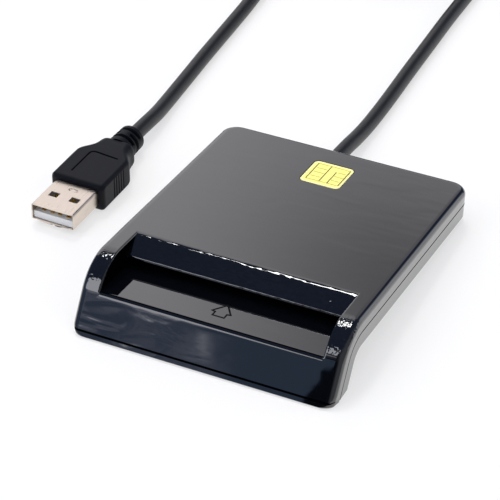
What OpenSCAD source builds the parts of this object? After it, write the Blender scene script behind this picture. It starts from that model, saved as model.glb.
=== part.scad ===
// Desktop smart card reader with a moulded two-part case, a card well at its front
// and a lead that ends in a plug. Millimetres, +Z up, standing on z = 0.
// The case is drawn in its own frame, with its rear wall at y = 0 and its underside at z = 0,
// and leaned() then stands it on its front foot and rear bumpers.

/* [Case] */
// Width of the case on each side of the card well
side_w = 5; // [4.6:0.2:9]
// Length of the flat part, from the rear wall to the front bend
flat_l = 68; // [67:0.5:76]
// Thickness of the case, alike along the flat part, the bend and the foot
case_h = 8; // [8:0.1:9]
// Outer radius of the front bend
bend_r = 12; // [10.5:0.5:14]
// Angle through which the case bends down into its foot
bend_deg = 62; // [52:1:66]
// Reach of the foot below the underside of the flat part
foot_drop = 8; // [6:0.5:9]
// Plan radius of the rear corners
corner_r = 4.5; // [3:0.5:6]
// Plan radius of the front corners
front_corner_r = 3.5; // [2:0.5:4.5]
// Radius along the upper edges
edge_r = 1.5; // [0.8:0.1:1.8]
// Radius along the lower edges
under_r = 0.9; // [0.5:0.1:1.1]
// Wall thickness of both covers
wall = 1.2; // [1:0.1:1.3]
// Depth of the parting line below the outer face
seam_depth = 3.6; // [3.2:0.1:4]
// Width of the parting line
seam = 0.25; // [0.15:0.05:0.35]

/* [Card] */
// Width of a standard card
card_w = 54; // [54:0.1:54.6]
// Thickness of a standard card
card_t = 0.76; // [0.68:0.02:0.84]
// Distance from the rear wall to the edge where the card stops
card_stop_at = 20; // [19.5:0.25:21]
// Room on each side of a card in the well
well_clear = 1; // [0.8:0.1:1.4]
// Distance from the rear wall to the back edge of the well
well_at = 60; // [58:0.5:61]
// Depth of the well floor below the top face
well_drop = 6.2; // [6.2:0.05:6.4]
// Run of the sloping strip above the slot
lip_run = 5.6; // [4:0.2:6]
// Drop of the sloping strip above the slot
lip_drop = 3; // [2:0.1:3.2]

/* [Chip badge] */
// Width of the badge across the case
badge_w = 10.5; // [8:0.5:13]
// Length of the badge along the case
badge_l = 10.9; // [8:0.5:13]
// Distance from the rear wall to the middle of the badge
badge_at = 13; // [12:0.5:20]
// Depth of the recess that takes the badge
badge_sink = 0.4; // [0.3:0.05:0.6]

/* [Board] */
// Thickness of the circuit board
board_t = 1; // [0.8:0.1:1]
// Length of the circuit board
board_l = 38; // [36:0.5:39]
// Distance from the rear wall to the rear edge of the board
board_at = 12; // [11.5:0.25:12.5]
// Height of the card connector under the board
connector_h = 1.9; // [1.7:0.05:1.95]

/* [Feet] */
// Radius of the two rear bumpers
bumper_r = 4.5; // [3.5:0.25:5]
// Height of the two rear bumpers
bumper_h = 1.6; // [1.2:0.1:2]
// Distance from the rear wall to the rear bumpers and the screws that they hide
bumper_at = 9; // [8:0.25:9]
// Length of each front pad across the case
pad_l = 14; // [10:1:20]
// Width of each front pad
pad_w = 3; // [2:0.2:3.4]

/* [Lead and plug] */
// Diameter of the lead
lead_d = 4; // [3.6:0.1:4.2]
// Width of the plug's metal shell
shell_w = 12; // [11.8:0.1:12.2]
// Height of the plug's metal shell
shell_h = 4.5; // [4.4:0.05:4.6]
// Length of the metal shell that stands out of the plug's grip
shell_out = 11.8; // [11:0.2:12.5]
// Width of the plug's grip
grip_w = 15; // [14:0.2:16]
// Height of the plug's grip
grip_h = 7.4; // [7:0.1:8]
// Length of the plug's grip, from the shell to its strain relief
grip_l = 21; // [20:0.5:24]

/* [Hidden] */
$fn = 40;
// Overrun of every cut
over = 1;
// Play between pieces that sit in each other, and between a screw and its hole
play = 0.05;

// Heights in the case, from its underside
floor_z = case_h - well_drop;
card_top = floor_z + card_t;
card_gap = 0.3;
connector_z = card_top + card_gap;
board_z = connector_z + connector_h;
board_top = board_z + board_t;
roof_z = case_h - wall;
lip_z = case_h - lip_drop;
seam_z = case_h - seam_depth;

// Widths in the case
well_w = card_w + 2 * well_clear;
case_w = well_w + 2 * side_w;
inner_w = case_w - 2 * wall;

// The lean that the foot and the bumpers give the case
foot_at = flat_l + bend_r;
bumper_ball = (bumper_r * bumper_r + bumper_h * bumper_h) / (2 * bumper_h);
stance = [foot_at - bumper_at, foot_drop + bumper_ball - bumper_h];
lean = atan2(stance[1], stance[0]) - asin(bumper_ball / norm(stance));
lift = foot_drop * cos(lean) - foot_at * sin(lean);
// Height of the foot's land above the floor, the part of the pads that shows
land = 0.4;
bend_end = [-flat_l - bend_r * sin(bend_deg), case_h - bend_r + bend_r * cos(bend_deg)];
bend_end_y = bend_end[0] * cos(lean) + bend_end[1] * sin(lean);
bend_end_z = bend_end[1] * cos(lean) - bend_end[0] * sin(lean) + lift;
front_y = bend_end_y - (bend_end_z - land) / tan(bend_deg - lean);
rear_y = (case_h - edge_r) * sin(lean) + edge_r * (1 - cos(lean));
middle = (front_y + rear_y) / 2;
flap_l = (bend_end_z + case_h) / sin(bend_deg - lean);

// Stands what is drawn in the case's frame on the floor
module leaned() {
    translate([0, -middle, lift])
    rotate([-lean, 0, 0])
    children();
}

// Outline of the case across its width, with the half width given
module case_section(half) {
    translate([-half, under_r])
    square([2 * half, case_h - under_r - edge_r]);
    translate([edge_r - half, case_h / 2])
    square([2 * (half - edge_r), case_h / 2]);
    translate([under_r - half, 0])
    square([2 * (half - under_r), case_h / 2]);
    for (side = [-1, 1]) {
        translate([side * (half - edge_r), case_h - edge_r])
        circle(r = edge_r);
        translate([side * (half - under_r), under_r])
        circle(r = under_r);
    }
}

// Inner edge that the lower cover has behind the parting line
tongue_t = 0.6;
tongue_gap = 0.1;
tongue_up = 1.2;
tongue_down = 1;

// Outline of the case or of one cover: kinds that start with whole have no hollow
module cover_section(kind, half) {
    if (kind == "whole") {
        case_section(half);
    }
    if (kind == "whole_top") {
        intersection() {
            case_section(half);
            translate([-half - over, seam_z])
            square([2 * (half + over), case_h]);
        }
    }
    if (kind == "whole_bottom") {
        intersection() {
            case_section(half);
            translate([-half - over, -over])
            square([2 * (half + over), seam_z - seam + over]);
        }
    }
    if (kind == "top") {
        difference() {
            case_section(half);
            translate([-half - over, -over])
            square([2 * (half + over), seam_z + over]);
            translate([wall - half, 0])
            square([2 * (half - wall), roof_z]);
        }
    }
    if (kind == "bottom") {
        difference() {
            case_section(half);
            translate([-half - over, seam_z - seam])
            square([2 * (half + over), case_h]);
            translate([wall - half, wall])
            square([2 * (half - wall), case_h]);
        }
    }
    if (kind == "tongue") {
        base = seam_z - seam - tongue_down;
        for (side = [-1, 1]) {
            translate([side * (half - wall - tongue_gap - tongue_t / 2) - tongue_t / 2, base])
            square([tongue_t, seam + tongue_up + tongue_down]);
            translate([side * (half - wall) - tongue_t / 2, base])
            square([tongue_t, tongue_down - tongue_gap]);
        }
    }
}

// Length by which the foot runs into the bend that it grows out of, and how much slimmer it is
join = 0.3;
join_slim = 0.005;

// Carries an outline along the flat part, round the bend and down the foot
module along_case() {
    translate([0, -corner_r, 0])
    rotate([90, 0, 0])
    linear_extrude(flat_l - corner_r)
    children();
    translate([0, -flat_l, case_h - bend_r])
    rotate([180, -90, 0])
    rotate_extrude(angle = bend_deg)
    translate([bend_r - case_h, 0])
    rotate(-90)
    children();
    translate([0, -flat_l, case_h - bend_r])
    rotate([bend_deg, 0, 0])
    translate([0, 0, bend_r - case_h])
    rotate([90, 0, 0])
    translate([0, 0, -join])
    linear_extrude(flap_l + join)
    offset(delta = -join_slim)
    children();
}

// Closes the rear end with a straight strip and two round corners
module rear_end(kind) {
    translate([corner_r - case_w / 2, -corner_r, 0])
    rotate([90, 0, 90])
    linear_extrude(case_w - 2 * corner_r)
    intersection() {
        cover_section(kind, corner_r);
        square([corner_r + over, case_h + over]);
    }
    for (side = [0, 1]) {
        translate([(1 - 2 * side) * (case_w / 2 - corner_r), -corner_r, 0])
        rotate(side * 90)
        rotate_extrude(angle = 90)
        intersection() {
            cover_section(kind, corner_r);
            square([corner_r + over, case_h + over]);
        }
    }
}

module cover_form(kind) {
    along_case() cover_section(kind, case_w / 2);
    rear_end(kind);
}

// What the floor and the rounded front corners take off, in the frame of the floor
module front_trim(up = land) {
    translate([-case_w, 2 * front_y, -2 * case_w])
    cube([2 * case_w, -3 * front_y, 2 * case_w + up]);
    for (side = [-1, 1]) {
        translate([side * (case_w / 2 - front_corner_r), front_y + front_corner_r, 0])
        difference() {
            translate([side > 0 ? 0 : -front_corner_r - over, -front_corner_r - over, -over])
            cube([front_corner_r + over, front_corner_r + over, case_w / 2]);
            translate([0, 0, -2 * over])
            cylinder(r = front_corner_r, h = case_w);
        }
    }
}

// Outline of the well's roof strip: it falls from the top face to the lip over the slot
strip_t = 1.2;
lip_round = 0.35;
throat_t = 1;
throat_gap = 0.5;
throat_z = card_top + throat_gap;

module strip_section() {
    rise = [-well_at, case_h];
    lip = [-well_at - lip_run, lip_z];
    polygon([
        rise,
        lip + [lip_round, lip_round / 2],
        lip + [lip_round / 2, -strip_t / 2],
        lip + [strip_t, -strip_t / 2],
        rise + [0, -strip_t - wall / 2],
        rise + [throat_t + over, -strip_t - wall / 2],
        rise + [throat_t + over, 0]
    ]);
    translate(lip + [lip_round, -lip_round / 2])
    circle(r = lip_round);
    translate([throat_t - well_at, throat_z])
    square([throat_t, roof_z - throat_z + wall / 2]);
}

// Walls and floor of the open card well at the front of the upper cover
well_floor_t = 0.9;
well_wall = 1;
well_inner_at = 52;
well_end = 2 * bend_r;

module well_space() {
    translate([-well_w / 2, -flat_l - well_end, floor_z])
    cube([well_w, flat_l + well_end - well_at, case_h]);
}

module well_shape() {
    for (side = [-1, 1]) {
        inner_x = side * (well_w + well_wall) / 2;
        translate([inner_x - well_wall / 2, -flat_l - well_end, floor_z - well_floor_t])
        cube([well_wall, flat_l + well_end - well_at + throat_t + throat_t, case_h]);
    }
    translate([-well_w / 2 - well_wall, -flat_l - well_end, floor_z - well_floor_t])
    cube([well_w + 2 * well_wall, flat_l + well_end - well_inner_at, well_floor_t]);
}

// Screws of the case, straight up through the lower cover behind the rear bumpers
case_screw_x = 24;
case_screw_r = 1.1;
case_head_r = 2.1;
case_head_h = 1.2;
case_head_seat = 1.5;
case_boss_r = 2.5;
case_pillar_r = 3.2;
case_pillar_top = 3.2;
case_screw_top = roof_z - wall / 2;

// Lead entry in the rear wall
entry_x = -4;
entry_z = 4;
entry_r = 2.3;
entry_flange_r = 2.7;
entry_flange_t = 1.2;
entry_nose = 1.2;

module entry_cut() {
    translate([entry_x, over, entry_z])
    rotate([90, 0, 0])
    cylinder(r = entry_r + play, h = wall + 2 * over);
}

// Room for the flange of the grommet behind the rear wall
module entry_room() {
    translate([entry_x, -wall + play, entry_z])
    rotate([90, 0, 0])
    cylinder(r = entry_flange_r + 2 * play, h = entry_flange_t + wall);
}

// Plan outline of the badge, the size given for its recess or its plate
badge_round = 1.3;

module badge_outline(grow) {
    w = badge_w + 2 * grow;
    l = badge_l + 2 * grow;
    r = badge_round + grow;
    translate([-w / 2, r - l / 2])
    square([w, l - 2 * r]);
    translate([r - w / 2, -l / 2])
    square([w - 2 * r, l]);
    for (x = [-1, 1], y = [-1, 1]) {
        translate([x * (w / 2 - r), y * (l / 2 - r)])
        circle(r = r);
    }
}

module top_cover() {
    color([0.05, 0.05, 0.06])
    difference() {
        union() {
            leaned() top_body();
            foot_sole("whole_top");
        }
        front_trim();
    }
}

module top_body() {
    difference() {
        union() {
            difference() {
                cover_form("top");
                well_space();
            }
            intersection() {
                along_case() cover_section("whole", case_w / 2);
                well_shape();
            }
            translate([-well_w / 2 - well_wall, 0, 0])
            rotate([90, 0, 90])
            linear_extrude(well_w + 2 * well_wall)
            strip_section();
            for (side = [-1, 1]) {
                translate([side * case_screw_x, -bumper_at, case_pillar_top + play])
                cylinder(r = case_boss_r, h = roof_z - case_pillar_top);
            }
        }
        for (side = [-1, 1]) {
            translate([side * case_screw_x, -bumper_at, 0])
            cylinder(r = case_screw_r + play, h = case_screw_top + play);
        }
        translate([0, -badge_at, case_h - badge_sink])
        linear_extrude(badge_sink + over)
        badge_outline(badge_gap);
        entry_cut();
    }
}

// Closes the foot of a cover just above the floor
module foot_sole(kind) {
    intersection() {
        leaned() along_case() cover_section(kind, case_w / 2);
        translate([-case_w, 2 * front_y, -over])
        cube([2 * case_w, -2 * front_y, land + wall + over]);
    }
}

badge_gap = 0.2;
badge_t = 0.35;

module chip_badge() {
    color([0.93, 0.86, 0.45])
    leaned()
    translate([0, -badge_at, case_h - badge_sink])
    linear_extrude(badge_t)
    badge_outline(0);
}

// Board, held on four posts of the lower cover
board_clear = 0.5;
board_w = inner_w - 2 * (tongue_t + tongue_gap + board_clear);
post_r = 1.7;
post_x = inner_w / 2 - tongue_t - 2 * tongue_gap - post_r;
post_inset = 4;
post_y = [-board_at - post_inset, post_inset - board_at - board_l];
board_screw_r = 0.9;
board_screw_l = 3.4;
board_head_r = 1.7;
board_head_h = 0.7;

module at_posts() {
    for (x = [-1, 1], y = post_y) {
        translate([x * post_x, y, 0])
        children();
    }
}

// Guides for the card: ribs under it, a rail on each side and a stop at its end
rib_t = 1;
rib_x_share = [0.13, 0.36];
rail_gap = 0.25;
rail_t = 0.9;
stop_t = 1.2;
stop_up = 0.4;
// Ends of the two stops, measured across the case, with the card switch between them
stop_spans = [[-18, -14.6], [-8.6, 18]];

module card_guides() {
    ribs_l = well_inner_at - card_stop_at - play;
    for (side = [-1, 1], share = rib_x_share) {
        translate([side * share * card_w - rib_t / 2, play - well_inner_at, wall / 2])
        cube([rib_t, ribs_l, floor_z - wall / 2]);
    }
    for (side = [-1, 1]) {
        translate([side * (card_w / 2 + rail_gap + rail_t / 2) - rail_t / 2, play - well_inner_at,
            wall / 2])
        cube([rail_t, ribs_l, card_top - wall / 2]);
    }
    for (span = stop_spans) {
        translate([span[0], -card_stop_at, wall / 2])
        cube([span[1] - span[0], stop_t, card_top + stop_up - wall / 2]);
    }
}

// Front pads, rubber strips let into the foot's land
pad_x = 20;
pad_edge = 0.5;
pad_sink = 0.6;
pad_y = front_y - middle + (seam_depth + seam) / sin(bend_deg - lean) + pad_edge;

module front_pads_at(grow) {
    for (side = [-1, 1]) {
        translate([side * pad_x - pad_l / 2 - grow, pad_y - grow, -grow])
        cube([pad_l + 2 * grow, pad_w + 2 * grow, land + pad_sink + grow]);
    }
}

module bottom_body() {
    difference() {
        union() {
            difference() {
                cover_form("bottom");
                room_w = well_w + 2 * (well_wall + play);
                translate([-room_w / 2, -flat_l - well_end, floor_z - well_floor_t - play])
                cube([room_w, flat_l + well_end - well_inner_at + play, case_h]);
            }
            at_posts() translate([0, 0, wall / 2])
            cylinder(r = post_r, h = board_z - wall / 2);
            card_guides();
            for (side = [-1, 1]) {
                translate([side * case_screw_x, -bumper_at, wall / 2])
                cylinder(r = case_pillar_r, h = case_pillar_top - wall / 2);
            }
        }
        at_posts() translate([0, 0, board_z - board_screw_l])
        cylinder(r = board_screw_r + play, h = board_screw_l + over);
        for (side = [-1, 1]) {
            translate([side * case_screw_x, -bumper_at, -over])
            cylinder(r = case_screw_r + play, h = case_pillar_top + 2 * over);
            translate([side * case_screw_x, -bumper_at, -over])
            cylinder(r = case_head_r + play, h = case_head_seat + over);
        }
        entry_cut();
    }
}

module bottom_cover() {
    color([0.05, 0.05, 0.06])
    difference() {
        union() {
            leaned() bottom_body();
            foot_sole("whole_bottom");
            difference() {
                leaned() difference() {
                    cover_form("tongue");
                    entry_cut();
                    entry_room();
                }
                translate([-case_w, 2 * front_y, -2 * case_w])
                cube([2 * case_w, -3 * front_y, 2 * case_w + land + wall + seam]);
            }
        }
        front_trim();
        front_pads_at(play);
    }
}

module circuit_board() {
    color([0.07, 0.3, 0.16])
    leaned()
    difference() {
        translate([-board_w / 2, -board_at - board_l, board_z])
        cube([board_w, board_l, board_t]);
        at_posts() translate([0, 0, board_z - over])
        cylinder(r = board_screw_r + play, h = board_t + 2 * over);
    }
}

module board_screws() {
    color([0.75, 0.75, 0.77])
    leaned()
    at_posts() {
        translate([0, 0, board_top])
        cylinder(r = board_head_r, h = board_head_h);
        translate([0, 0, board_z - board_screw_l + play])
        cylinder(r = board_screw_r, h = board_screw_l + board_t);
    }
}

module case_screws() {
    color([0.75, 0.75, 0.77])
    leaned()
    for (side = [-1, 1]) {
        translate([side * case_screw_x, -bumper_at, 0]) {
            translate([0, 0, case_head_seat - case_head_h])
            cylinder(r = case_head_r, h = case_head_h);
            translate([0, 0, case_head_seat - case_head_h])
            cylinder(r = case_screw_r, h = case_screw_top - case_head_seat + case_head_h);
        }
    }
}

module rear_bumpers() {
    color([0.12, 0.12, 0.12])
    leaned()
    for (side = [-1, 1]) {
        translate([side * case_screw_x, -bumper_at, 0])
        intersection() {
            translate([0, 0, bumper_ball - bumper_h])
            sphere(r = bumper_ball);
            translate([0, 0, -bumper_h - over])
            cylinder(r = bumper_r, h = bumper_h + over);
        }
    }
}

module front_pads() {
    color([0.12, 0.12, 0.12])
    front_pads_at(0);
}

// Card connector under the board. A standard card has its contacts in two rows of four.
contact_pitch = 2.54;
contact_count = 4;
// From the card's long edge to the middle of its four columns, and from its short edge to each row
contact_from_side = 23.89;
contact_rows = [11.25, 18.87];
connector_x = card_w / 2 - contact_from_side;
connector_edge = 6.8;
connector_w = contact_pitch * (contact_count - 1) + 2 * connector_edge;
window_w = 1.5;
arm_w = 1;
arm_t = 0.2;
arm_l = 5.6;
arm_tip = 1.1;
// Drop of the spring's tip below the top of a card that is in
arm_press = 0.25;
tail_l = 0.9;
tail_gap = 0.1;
connector_rim = 1.6;
row_root = [arm_l - card_stop_at - contact_rows[0], -card_stop_at - contact_rows[1] - arm_l];
connector_rear = row_root[0] + tail_gap + tail_l + connector_rim;
connector_front = row_root[1] - tail_gap - tail_l - connector_rim;

module at_contacts() {
    for (i = [0 : contact_count - 1]) {
        translate([connector_x + (i - (contact_count - 1) / 2) * contact_pitch, 0, 0])
        children();
    }
}

module card_connector() {
    color([0.16, 0.16, 0.17])
    leaned()
    difference() {
        translate([connector_x - connector_w / 2, connector_front, connector_z])
        cube([connector_w, connector_rear - connector_front, connector_h]);
        at_contacts() {
            translate([-window_w / 2, row_root[0] - arm_l - 2 * arm_tip, connector_z - over])
            cube([window_w, arm_l + 2 * arm_tip + tail_gap + tail_l + play, connector_h + 2 * over]);
            translate([-window_w / 2, row_root[1] - tail_gap - tail_l - play, connector_z - over])
            cube([window_w, arm_l + 2 * arm_tip + tail_gap + tail_l + play, connector_h + 2 * over]);
        }
    }
}

// Height of the spring's root as a share of the connector's
arm_root_share = 0.62;

// Side outline of one spring arm, from its root at 0 to its lifted tip
module arm_outline() {
    root = [0, connector_h * arm_root_share];
    elbow = [arm_l / 2, connector_h * arm_root_share - arm_l / 10];
    tip = [arm_l, card_top - arm_press - connector_z + arm_t / 2];
    nose = [arm_l + arm_tip, tip[1] + arm_tip / 2];
    line = [root, elbow, tip, nose];
    under = [for (p = line) p - [0, arm_t / 2]];
    above = [for (i = [len(line) - 1 : -1 : 0]) line[i] + [0, arm_t / 2]];
    polygon(concat(under, above));
}

module spring_arms(row) {
    at_contacts()
    translate([-arm_w / 2, row_root[row], connector_z])
    mirror([0, row == 0 ? 1 : 0, 0])
    rotate([90, 0, 90])
    linear_extrude(arm_w)
    arm_outline();
}

module front_contact_springs() {
    color([0.85, 0.68, 0.3])
    leaned()
    spring_arms(1);
}

module rear_contact_springs() {
    color([0.85, 0.68, 0.3])
    leaned()
    spring_arms(0);
}

module contact_tails() {
    tail_z = connector_z + connector_h * arm_root_share - arm_t;
    color([0.85, 0.68, 0.3])
    leaned()
    at_contacts() {
        translate([-arm_w / 2, row_root[0] + tail_gap, tail_z])
        cube([arm_w, tail_l, board_z - tail_z]);
        translate([-arm_w / 2, row_root[1] - tail_gap - tail_l, tail_z])
        cube([arm_w, tail_l, board_z - tail_z]);
    }
}

// Card switch: the end of the card swings a small lever as it reaches the stop
switch_x = (stop_spans[0][1] + stop_spans[1][0]) / 2;
switch_w = 4;
switch_l = 3;
switch_h = 1.7;
switch_web = 0.3;
pivot_before_stop = 0.7;
pivot_y = -card_stop_at - pivot_before_stop;
pin_r = 0.3;
pin_l = 3.2;
hub_r = 0.55;
pivot_z = board_z - switch_web - tail_gap - hub_r;
lever_w = 1.2;
lever_t = 0.5;
lever_tip_z = floor_z + card_t / 4;

module card_switch_housing() {
    color([0.85, 0.85, 0.82])
    leaned()
    difference() {
        translate([switch_x - switch_w / 2, pivot_y - switch_l / 2, board_z - switch_h])
        cube([switch_w, switch_l, switch_h]);
        slot_w = lever_w + 2 * tail_gap;
        translate([switch_x - slot_w / 2, pivot_y - switch_l / 2 - over, board_z - switch_h - over])
        cube([slot_w, switch_l + 2 * over, switch_h + over - switch_web]);
        translate([switch_x - pin_l / 2 - play, pivot_y, pivot_z])
        rotate([0, 90, 0])
        cylinder(r = pin_r + play, h = pin_l + 2 * play);
    }
}

module card_switch_lever() {
    color([0.9, 0.9, 0.88])
    leaned() {
        translate([switch_x - pin_l / 2, pivot_y, pivot_z])
        rotate([0, 90, 0])
        cylinder(r = pin_r, h = pin_l);
        translate([switch_x - lever_w / 2, pivot_y, pivot_z])
        rotate([0, 90, 0])
        cylinder(r = hub_r, h = lever_w);
        translate([switch_x - lever_w / 2, pivot_y - lever_t / 2, lever_tip_z])
        cube([lever_w, lever_t, pivot_z - lever_tip_z]);
    }
}

// Pieces soldered on top of the board
chip_place = [-9, -27];
chip_size = [7, 7, 0.8];
chip_leads = 7;
chip_lead = [0.35, 0.9, 0.2];

module controller_chip() {
    color([0.1, 0.1, 0.1])
    leaned()
    translate([chip_place[0], chip_place[1], board_top]) {
        translate([-chip_size[0] / 2, -chip_size[1] / 2, chip_lead[2] / 2])
        cube(chip_size - [0, 0, chip_lead[2] / 2]);
        for (turn = [0 : 90 : 270], i = [0 : chip_leads - 1]) {
            along = (i / (chip_leads - 1) - 1 / 2) * (chip_size[0] - 2 * chip_lead[1]);
            rotate(turn)
            translate([along - chip_lead[0] / 2, chip_size[1] / 2 - chip_lead[1] / 4, 0])
            cube(chip_lead);
        }
    }
}

regulator_place = [-17, -18];
regulator_size = [2.9, 1.4, 0.8];
regulator_lead = [0.4, 0.6, 0.2];

module voltage_regulator() {
    color([0.1, 0.1, 0.1])
    leaned()
    translate([regulator_place[0], regulator_place[1], board_top]) {
        translate([-regulator_size[0] / 2, -regulator_size[1] / 2, regulator_lead[2] / 2])
        cube(regulator_size - [0, 0, regulator_lead[2] / 2]);
        for (foot = [[-1, -1], [1, -1], [0, 1]]) {
            across = foot[0] * regulator_size[0] / 3 - regulator_lead[0] / 2;
            translate([across, foot[1] * regulator_size[1] / 2 - regulator_lead[1] / 2, 0])
            cube(regulator_lead);
        }
    }
}

crystal_place = [-19, -29];
crystal_size = [3.2, 2.5, 0.75];
crystal_rim = 0.2;

module crystal() {
    color([0.8, 0.8, 0.78])
    leaned()
    translate([crystal_place[0], crystal_place[1], board_top]) {
        translate([-crystal_size[0] / 2, -crystal_size[1] / 2, 0])
        cube([crystal_size[0], crystal_size[1], crystal_size[2] / 2]);
        lid = [crystal_size[0] - 2 * crystal_rim, crystal_size[1] - 2 * crystal_rim];
        translate([-lid[0] / 2, -lid[1] / 2, crystal_size[2] / 2])
        cube([lid[0], lid[1], crystal_size[2] / 2]);
    }
}

capacitor_places = [[-19, -33.5], [-21.5, -24.5], [-13, -18], [-21, -18], [-3, -20.5], [-9, -34.5]];
capacitor_size = [1.6, 0.8, 0.75];

module capacitors() {
    color([0.62, 0.5, 0.36])
    leaned()
    for (place = capacitor_places) {
        translate([place[0] - capacitor_size[0] / 2, place[1] - capacitor_size[1] / 2, board_top])
        cube(capacitor_size);
    }
}

resistor_places = [[14, -18], [14, -20], [14, -22], [-14, -38], [-14, -40], [-3, -17]];
resistor_size = [1.6, 0.8, 0.45];

module resistors() {
    color([0.12, 0.12, 0.13])
    leaned()
    for (place = resistor_places) {
        translate([place[0] - resistor_size[0] / 2, place[1] - resistor_size[1] / 2, board_top])
        cube(resistor_size);
    }
}

// Socket under the board for the lead's four wires, and the connector that goes into it
wire_count = 4;
wire_pitch = 1;
wire_d = 0.7;
socket_size = [6, 4.2, 2.8];
socket_wall = 0.5;
socket_y = -board_at - socket_size[1] - play;
socket_mid = board_z - socket_size[2] / 2;
connector_out = 1;
channel_w = 0.8;
pin_w = 0.4;

module at_wires() {
    for (i = [0 : wire_count - 1]) {
        translate([entry_x + (i - (wire_count - 1) / 2) * wire_pitch, 0, 0])
        children();
    }
}

module lead_socket() {
    mouth = [socket_size[0] - 2 * socket_wall, socket_size[2] - 2 * socket_wall];
    color([0.92, 0.9, 0.84])
    leaned()
    difference() {
        translate([entry_x - socket_size[0] / 2, socket_y, board_z - socket_size[2]])
        cube(socket_size);
        translate([entry_x - mouth[0] / 2, socket_y + 2 * socket_wall, socket_mid - mouth[1] / 2])
        cube([mouth[0], socket_size[1], mouth[1]]);
        at_wires() translate([-pin_w / 2 - play, socket_y - over, socket_mid - pin_w / 2 - play])
        cube([pin_w + 2 * play, 2 * socket_wall + 2 * over, pin_w + 2 * play]);
    }
}

module lead_socket_pins() {
    color([0.8, 0.8, 0.78])
    leaned()
    at_wires() {
        translate([-pin_w / 2, socket_y - socket_wall, socket_mid - pin_w / 2])
        cube([pin_w, socket_size[1] / 2 + socket_wall, pin_w]);
        translate([-pin_w / 2, socket_y - socket_wall - pin_w, socket_mid - pin_w / 2])
        cube([pin_w, pin_w, board_z - socket_mid + pin_w / 2]);
    }
}

module lead_connector() {
    start = socket_y + 2 * socket_wall + play;
    w = socket_size[0] - 2 * socket_wall - 2 * play;
    h = socket_size[2] - 2 * socket_wall - 2 * play;
    l = socket_size[1] - 2 * socket_wall - play + connector_out;
    color([0.92, 0.9, 0.84])
    leaned()
    difference() {
        translate([entry_x - w / 2, start, socket_mid - h / 2])
        cube([w, l, h]);
        at_wires() translate([-channel_w / 2, start - over, socket_mid - channel_w / 2])
        cube([channel_w, l + 2 * over, channel_w]);
    }
}

// Grommet moulded on the lead, with a groove that sits in the rear wall and the end of the lead's sheath
sheath_end = 6;

module lead_grommet() {
    color([0.13, 0.13, 0.14])
    leaned()
    translate([entry_x, 0, entry_z])
    rotate([90, 0, 0])
    rotate_extrude()
    polygon([
        [0, -entry_nose],
        [lead_d / 2 + tongue_gap, -entry_nose],
        [entry_flange_r, -play],
        [entry_r, -play],
        [entry_r, wall + play],
        [entry_flange_r, wall + play],
        [entry_flange_r, wall + play + entry_flange_t],
        [lead_d / 2, wall + play + entry_flange_t],
        [lead_d / 2, sheath_end],
        [0, sheath_end]
    ]);
}

// Tube swept along points: one ring of corners at each point, square to the way through it
function unit(v) = v / norm(v);
function heading(line, i) = unit(line[min(i + 1, len(line) - 1)] - line[max(i - 1, 0)]);
function ring(at, ahead, r, sides) =
    let (across = unit(cross(ahead, [0, 0, 1])), up = cross(across, ahead))
    [for (k = [0 : sides - 1]) at + r * (cos(360 * k / sides) * across + sin(360 * k / sides) * up)];

module tube(line, d, sides) {
    last = len(line) - 1;
    corners = [for (i = [0 : last]) each ring(line[i], heading(line, i), d / 2, sides)];
    walls = [for (i = [0 : last - 1], k = [0 : sides - 1])
        let (a = i * sides + k, b = i * sides + (k + 1) % sides)
        each [[a, b, a + sides], [b, b + sides, a + sides]]];
    front = [for (k = [1 : sides - 2]) [0, k + 1, k]];
    back = [for (k = [1 : sides - 2]) [last * sides, last * sides + k, last * sides + k + 1]];
    polyhedron(points = corners, faces = concat(walls, front, back));
}

// Wires inside the case, from the connector to the end of the lead's sheath
wire_sides = 6;
wire_bend_share = 0.35;
wire_end_share = 0.15;

module wire(i) {
    x = entry_x + (i - (wire_count - 1) / 2) * wire_pitch;
    start_y = socket_y + socket_size[1] - socket_wall;
    end_y = -sheath_end - play;
    run = end_y - start_y;
    tube([
        [x, start_y, socket_mid],
        [x, start_y + run * wire_bend_share, socket_mid],
        [x, start_y + run / 2, (socket_mid + entry_z) / 2],
        [x, end_y - run * wire_end_share, entry_z],
        [x, end_y, entry_z]
    ], wire_d, wire_sides);
}

module red_wire() {
    color([0.75, 0.1, 0.08])
    leaned() wire(0);
}

module white_wire() {
    color([0.9, 0.9, 0.88])
    leaned() wire(1);
}

module green_wire() {
    color([0.1, 0.5, 0.2])
    leaned() wire(2);
}

module black_wire() {
    color([0.08, 0.08, 0.08])
    leaned() wire(3);
}

// Route of the lead on the floor: from the case to the coil, and from the coil to the plug
rest_z = lead_d / 2 + play;
coil_x = -33;
coil_y = 163;
coil_r = 28;
coil_pitch = 4.5;
coil_turns_in = 2.5;
coil_rings = 24;
coil_sides = 6;
lead_sides = 10;
coil_top_z = rest_z + coil_pitch;
case_exit = [entry_x, entry_nose * cos(lean) + entry_z * sin(lean) - middle,
    entry_z * cos(lean) - entry_nose * sin(lean) + lift];
reader_route = [case_exit, [-4, 47, 4.36], [-4, 52, 3.8], [-4, 58, 2.9], [-4, 65, 2.3], [-4.1, 74, rest_z],
    [-4.3, 84, rest_z], [-4.6, 94, rest_z], [-4.8, 104, rest_z], [-5, 114, rest_z], [-5.2, 124, rest_z],
    [-5.2, 134, rest_z], [-5.1, 144, rest_z], [-5, 152, rest_z], [-5, coil_y - lead_d, rest_z]];

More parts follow.
